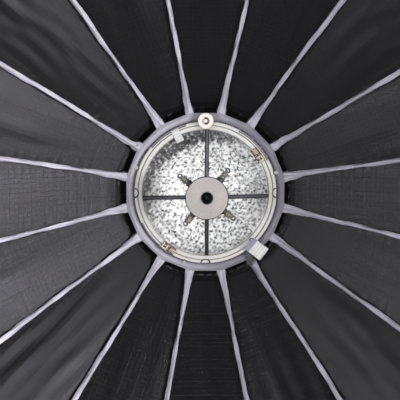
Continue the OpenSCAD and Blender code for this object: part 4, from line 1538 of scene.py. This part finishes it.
def hook_ring():
    """Small wire ring at the inner end of the tab."""
    outward, around = axes_at(math.radians(TAB_DEGREES))
    angle = circle(40)
    center = np.array(TAB_ORIGIN) + 11.0 * FORWARD - 20.4 * outward + 4.0 * around
    path = (center + 1.55 * np.cos(angle)[:, None] * outward
            + 1.55 * np.sin(angle)[:, None] * around + (0.25 * np.cos(angle))[:, None] * FORWARD)
    path = np.concatenate([path, path[:1]])
    ring = assemble("strap_hook_ring", [WIRE], [(0, tube(path, 0.5, 10, up=(0, 0, 1)))])
    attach(ring, "frame")


tab = strap("strap_tab_webbing", "frame", origin=TAB_ORIGIN, degrees=TAB_DEGREES, width=15.2,
            thick=1.5, patch=(0.5, 5.8), fold=(11.8, 20.2),
            path=[(-20.6, 10.2), (-19.0, 10.7), (-4.0, 10.8), (-0.9, 10.0), (0.2, 7.6),
                  (0.1, 0.0), (0.0, -14.6)])
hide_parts("strap_tab")
hook_ring()
loop = strap("strap_loop_webbing", "adapter", origin=(0, 0, 0), degrees=116.0, width=8.4,
             thick=1.1, path=[(59.6, 4.9), (60.6, 6.0), (63.0, 6.25), (71.4, 6.25), (72.6, 5.7),
                              (72.85, 4.4), (72.85, 1.6)])
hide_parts("strap_loop")

# ---------------------------------------------------------------- finishes of the CAD nodes
FINISHES = {
    "speed_ring": SPEED_RING_SHADE, "rib_pivot_pins": WIRE, "rear_retainer": POWDER,
    "retainer_screws": STEEL, "ring_screws": STEEL, "lock_knob": IVORY, "lock_spring": STEEL,
    "adapter_ring": ENAMEL, "deflector_spokes": SPOKE, "hub_body": HUB_METAL,
    "deflector_disc": DISC, "pull_pin_bushes": STEEL,
}
for node_name, finish in FINISHES.items():
    node = frame["nodes"][node_name]
    for slot in node.material_slots:
        slot.material = finish
    if not node.material_slots:
        node.data.materials.append(finish)

# ---------------------------------------------------------------- floor and world
BACKDROP = (0.52, 0.525, 0.54)
FLOOR_RINGS = (0.4, 1.0, 2.0, 4.0, 8.0, 14.0)  # radii in metres


def floor_material():
    """Pale floor that fades into the backdrop far from the object, for the camera only."""
    mat = Shader("floor_pale")
    tone = mat.noise(mat.place, scale=0.7, detail=4.0, rough=0.55)
    grit = mat.noise(mat.place, scale=140.0)
    material = mat.finish(
        Base_Color=mat.mix(mat.remap(tone), (0.36, 0.36, 0.36), (0.40, 0.40, 0.397)),
        Roughness=0.8, Normal=mat.bump(grit, strength=0.05, distance=0.001))
    far = mat.remap(mat.length(mat.place), span=(0.5, 1.65),
                    props={"interpolation_type": "SMOOTHSTEP"})
    camera_ray = mat.node("ShaderNodeLightPath").outputs["Is Camera Ray"]
    sweep = mat.node("ShaderNodeEmission", i0=BACKDROP).outputs[0]
    blend = mat.node("ShaderNodeMixShader", i0=mat.times(far, camera_ray),
                     i1=mat.bsdf.outputs[0], i2=sweep)
    mat.tree.links.new(blend.outputs[0], mat.out.inputs[0])
    return material


def floor():
    count = 96
    verts = [(0, 0, 0)] + [(radius * math.cos(2 * math.pi * j / count),
                            radius * math.sin(2 * math.pi * j / count), 0)
                           for radius in FLOOR_RINGS for j in range(count)]
    faces = [(0, 1 + j, 1 + (j + 1) % count) for j in range(count)]
    faces += grid_faces(len(FLOOR_RINGS), count, base=1, flip=True, wrap=True)
    mesh = bpy.data.meshes.new("floor")
    mesh.from_pydata(verts, [], faces)
    mesh.materials.append(floor_material())
    piece = link("floor", mesh)
    piece.location = (0, 0, CAD_BOX[0][2] - 0.012)


def studio_world():
    """Weak cool light; the camera sees the brighter backdrop instead."""
    world = bpy.data.worlds.new("studio")
    bpy.context.scene.world = world
    world.use_nodes = True
    nodes, links = world.node_tree.nodes, world.node_tree.links
    light = nodes["Background"]
    light.inputs["Color"].default_value = (0.93, 0.94, 1.0, 1)
    light.inputs["Strength"].default_value = 0.09
    seen = nodes.new("ShaderNodeBackground")
    seen.inputs["Color"].default_value = (*BACKDROP, 1)
    mix, light_path = nodes.new("ShaderNodeMixShader"), nodes.new("ShaderNodeLightPath")
    links.new(light_path.outputs["Is Camera Ray"], mix.inputs[0])
    links.new(light.outputs[0], mix.inputs[1])
    links.new(seen.outputs[0], mix.inputs[2])
    links.new(mix.outputs[0], nodes["World Output"].inputs[0])


floor()
studio_world()
bpy.context.scene.view_settings.view_transform = "Standard"


# ---------------------------------------------------------------- lights and camera
def aim(piece, place, target):
    piece.location = place
    direction = Vector(target) - Vector(place)
    piece.rotation_euler = direction.to_track_quat("-Z", "Y").to_euler()


def area_light(name, place, target, size, power, color=(1, 1, 1), size_y=None):
    """An area light in the row frame, metres and watts."""
    light = bpy.data.lights.new(name, "AREA")
    light.energy = power
    light.color = color
    light.size = size
    if size_y:
        light.shape = "RECTANGLE"
        light.size_y = size_y
    aim(link(name, light), place, target)


area_light("side_right", place=(1.39, -1.26, 0.06), target=(-0.14, -0.08, 0.0), size=0.9,
           size_y=0.30, power=64, color=(1.0, 0.985, 1.0))
area_light("side_left", place=(-1.39, -1.26, 0.06), target=(0.14, -0.08, 0.0), size=0.9,
           size_y=0.30, power=27, color=(0.97, 0.98, 1.0))
area_light("key_high", place=(-0.62, -2.6, 0.55), target=(0, 0, 0), size=0.55, size_y=0.45,
           power=17, color=(1.0, 1.0, 0.99))
area_light("front_soft", place=(0.15, -2.3, 0.10), target=(0, 0, 0), size=0.9, power=7)
area_light("back_soft", place=(0.5, 1.6, 2.1), target=(0, -0.1, 0), size=1.8, power=40)

CAMERA_PLACE = np.array([-14.0, 53.0, 700.0])  # hub frame, mm
RING_CENTER = np.array([0.0, 0.0, 1.0])
# the ring's centre falls right of and above the view's middle by these tangents
RING_RIGHT, RING_ABOVE = 0.00825, 0.01095


def camera():
    data = bpy.data.cameras.new("camera")
    piece = link("camera", data)
    bpy.context.scene.camera = piece
    data.sensor_width = 36.0
    data.lens = 60.0
    data.clip_start = 0.01
    sight = RING_CENTER - CAMERA_PLACE
    direction = np.array([sight[0] / -sight[2] - RING_RIGHT, sight[1] / -sight[2] - RING_ABOVE, -1.0])
    aim(piece, Vector(to_row(CAMERA_PLACE)), Vector(to_row(CAMERA_PLACE + direction * 500)))


camera()
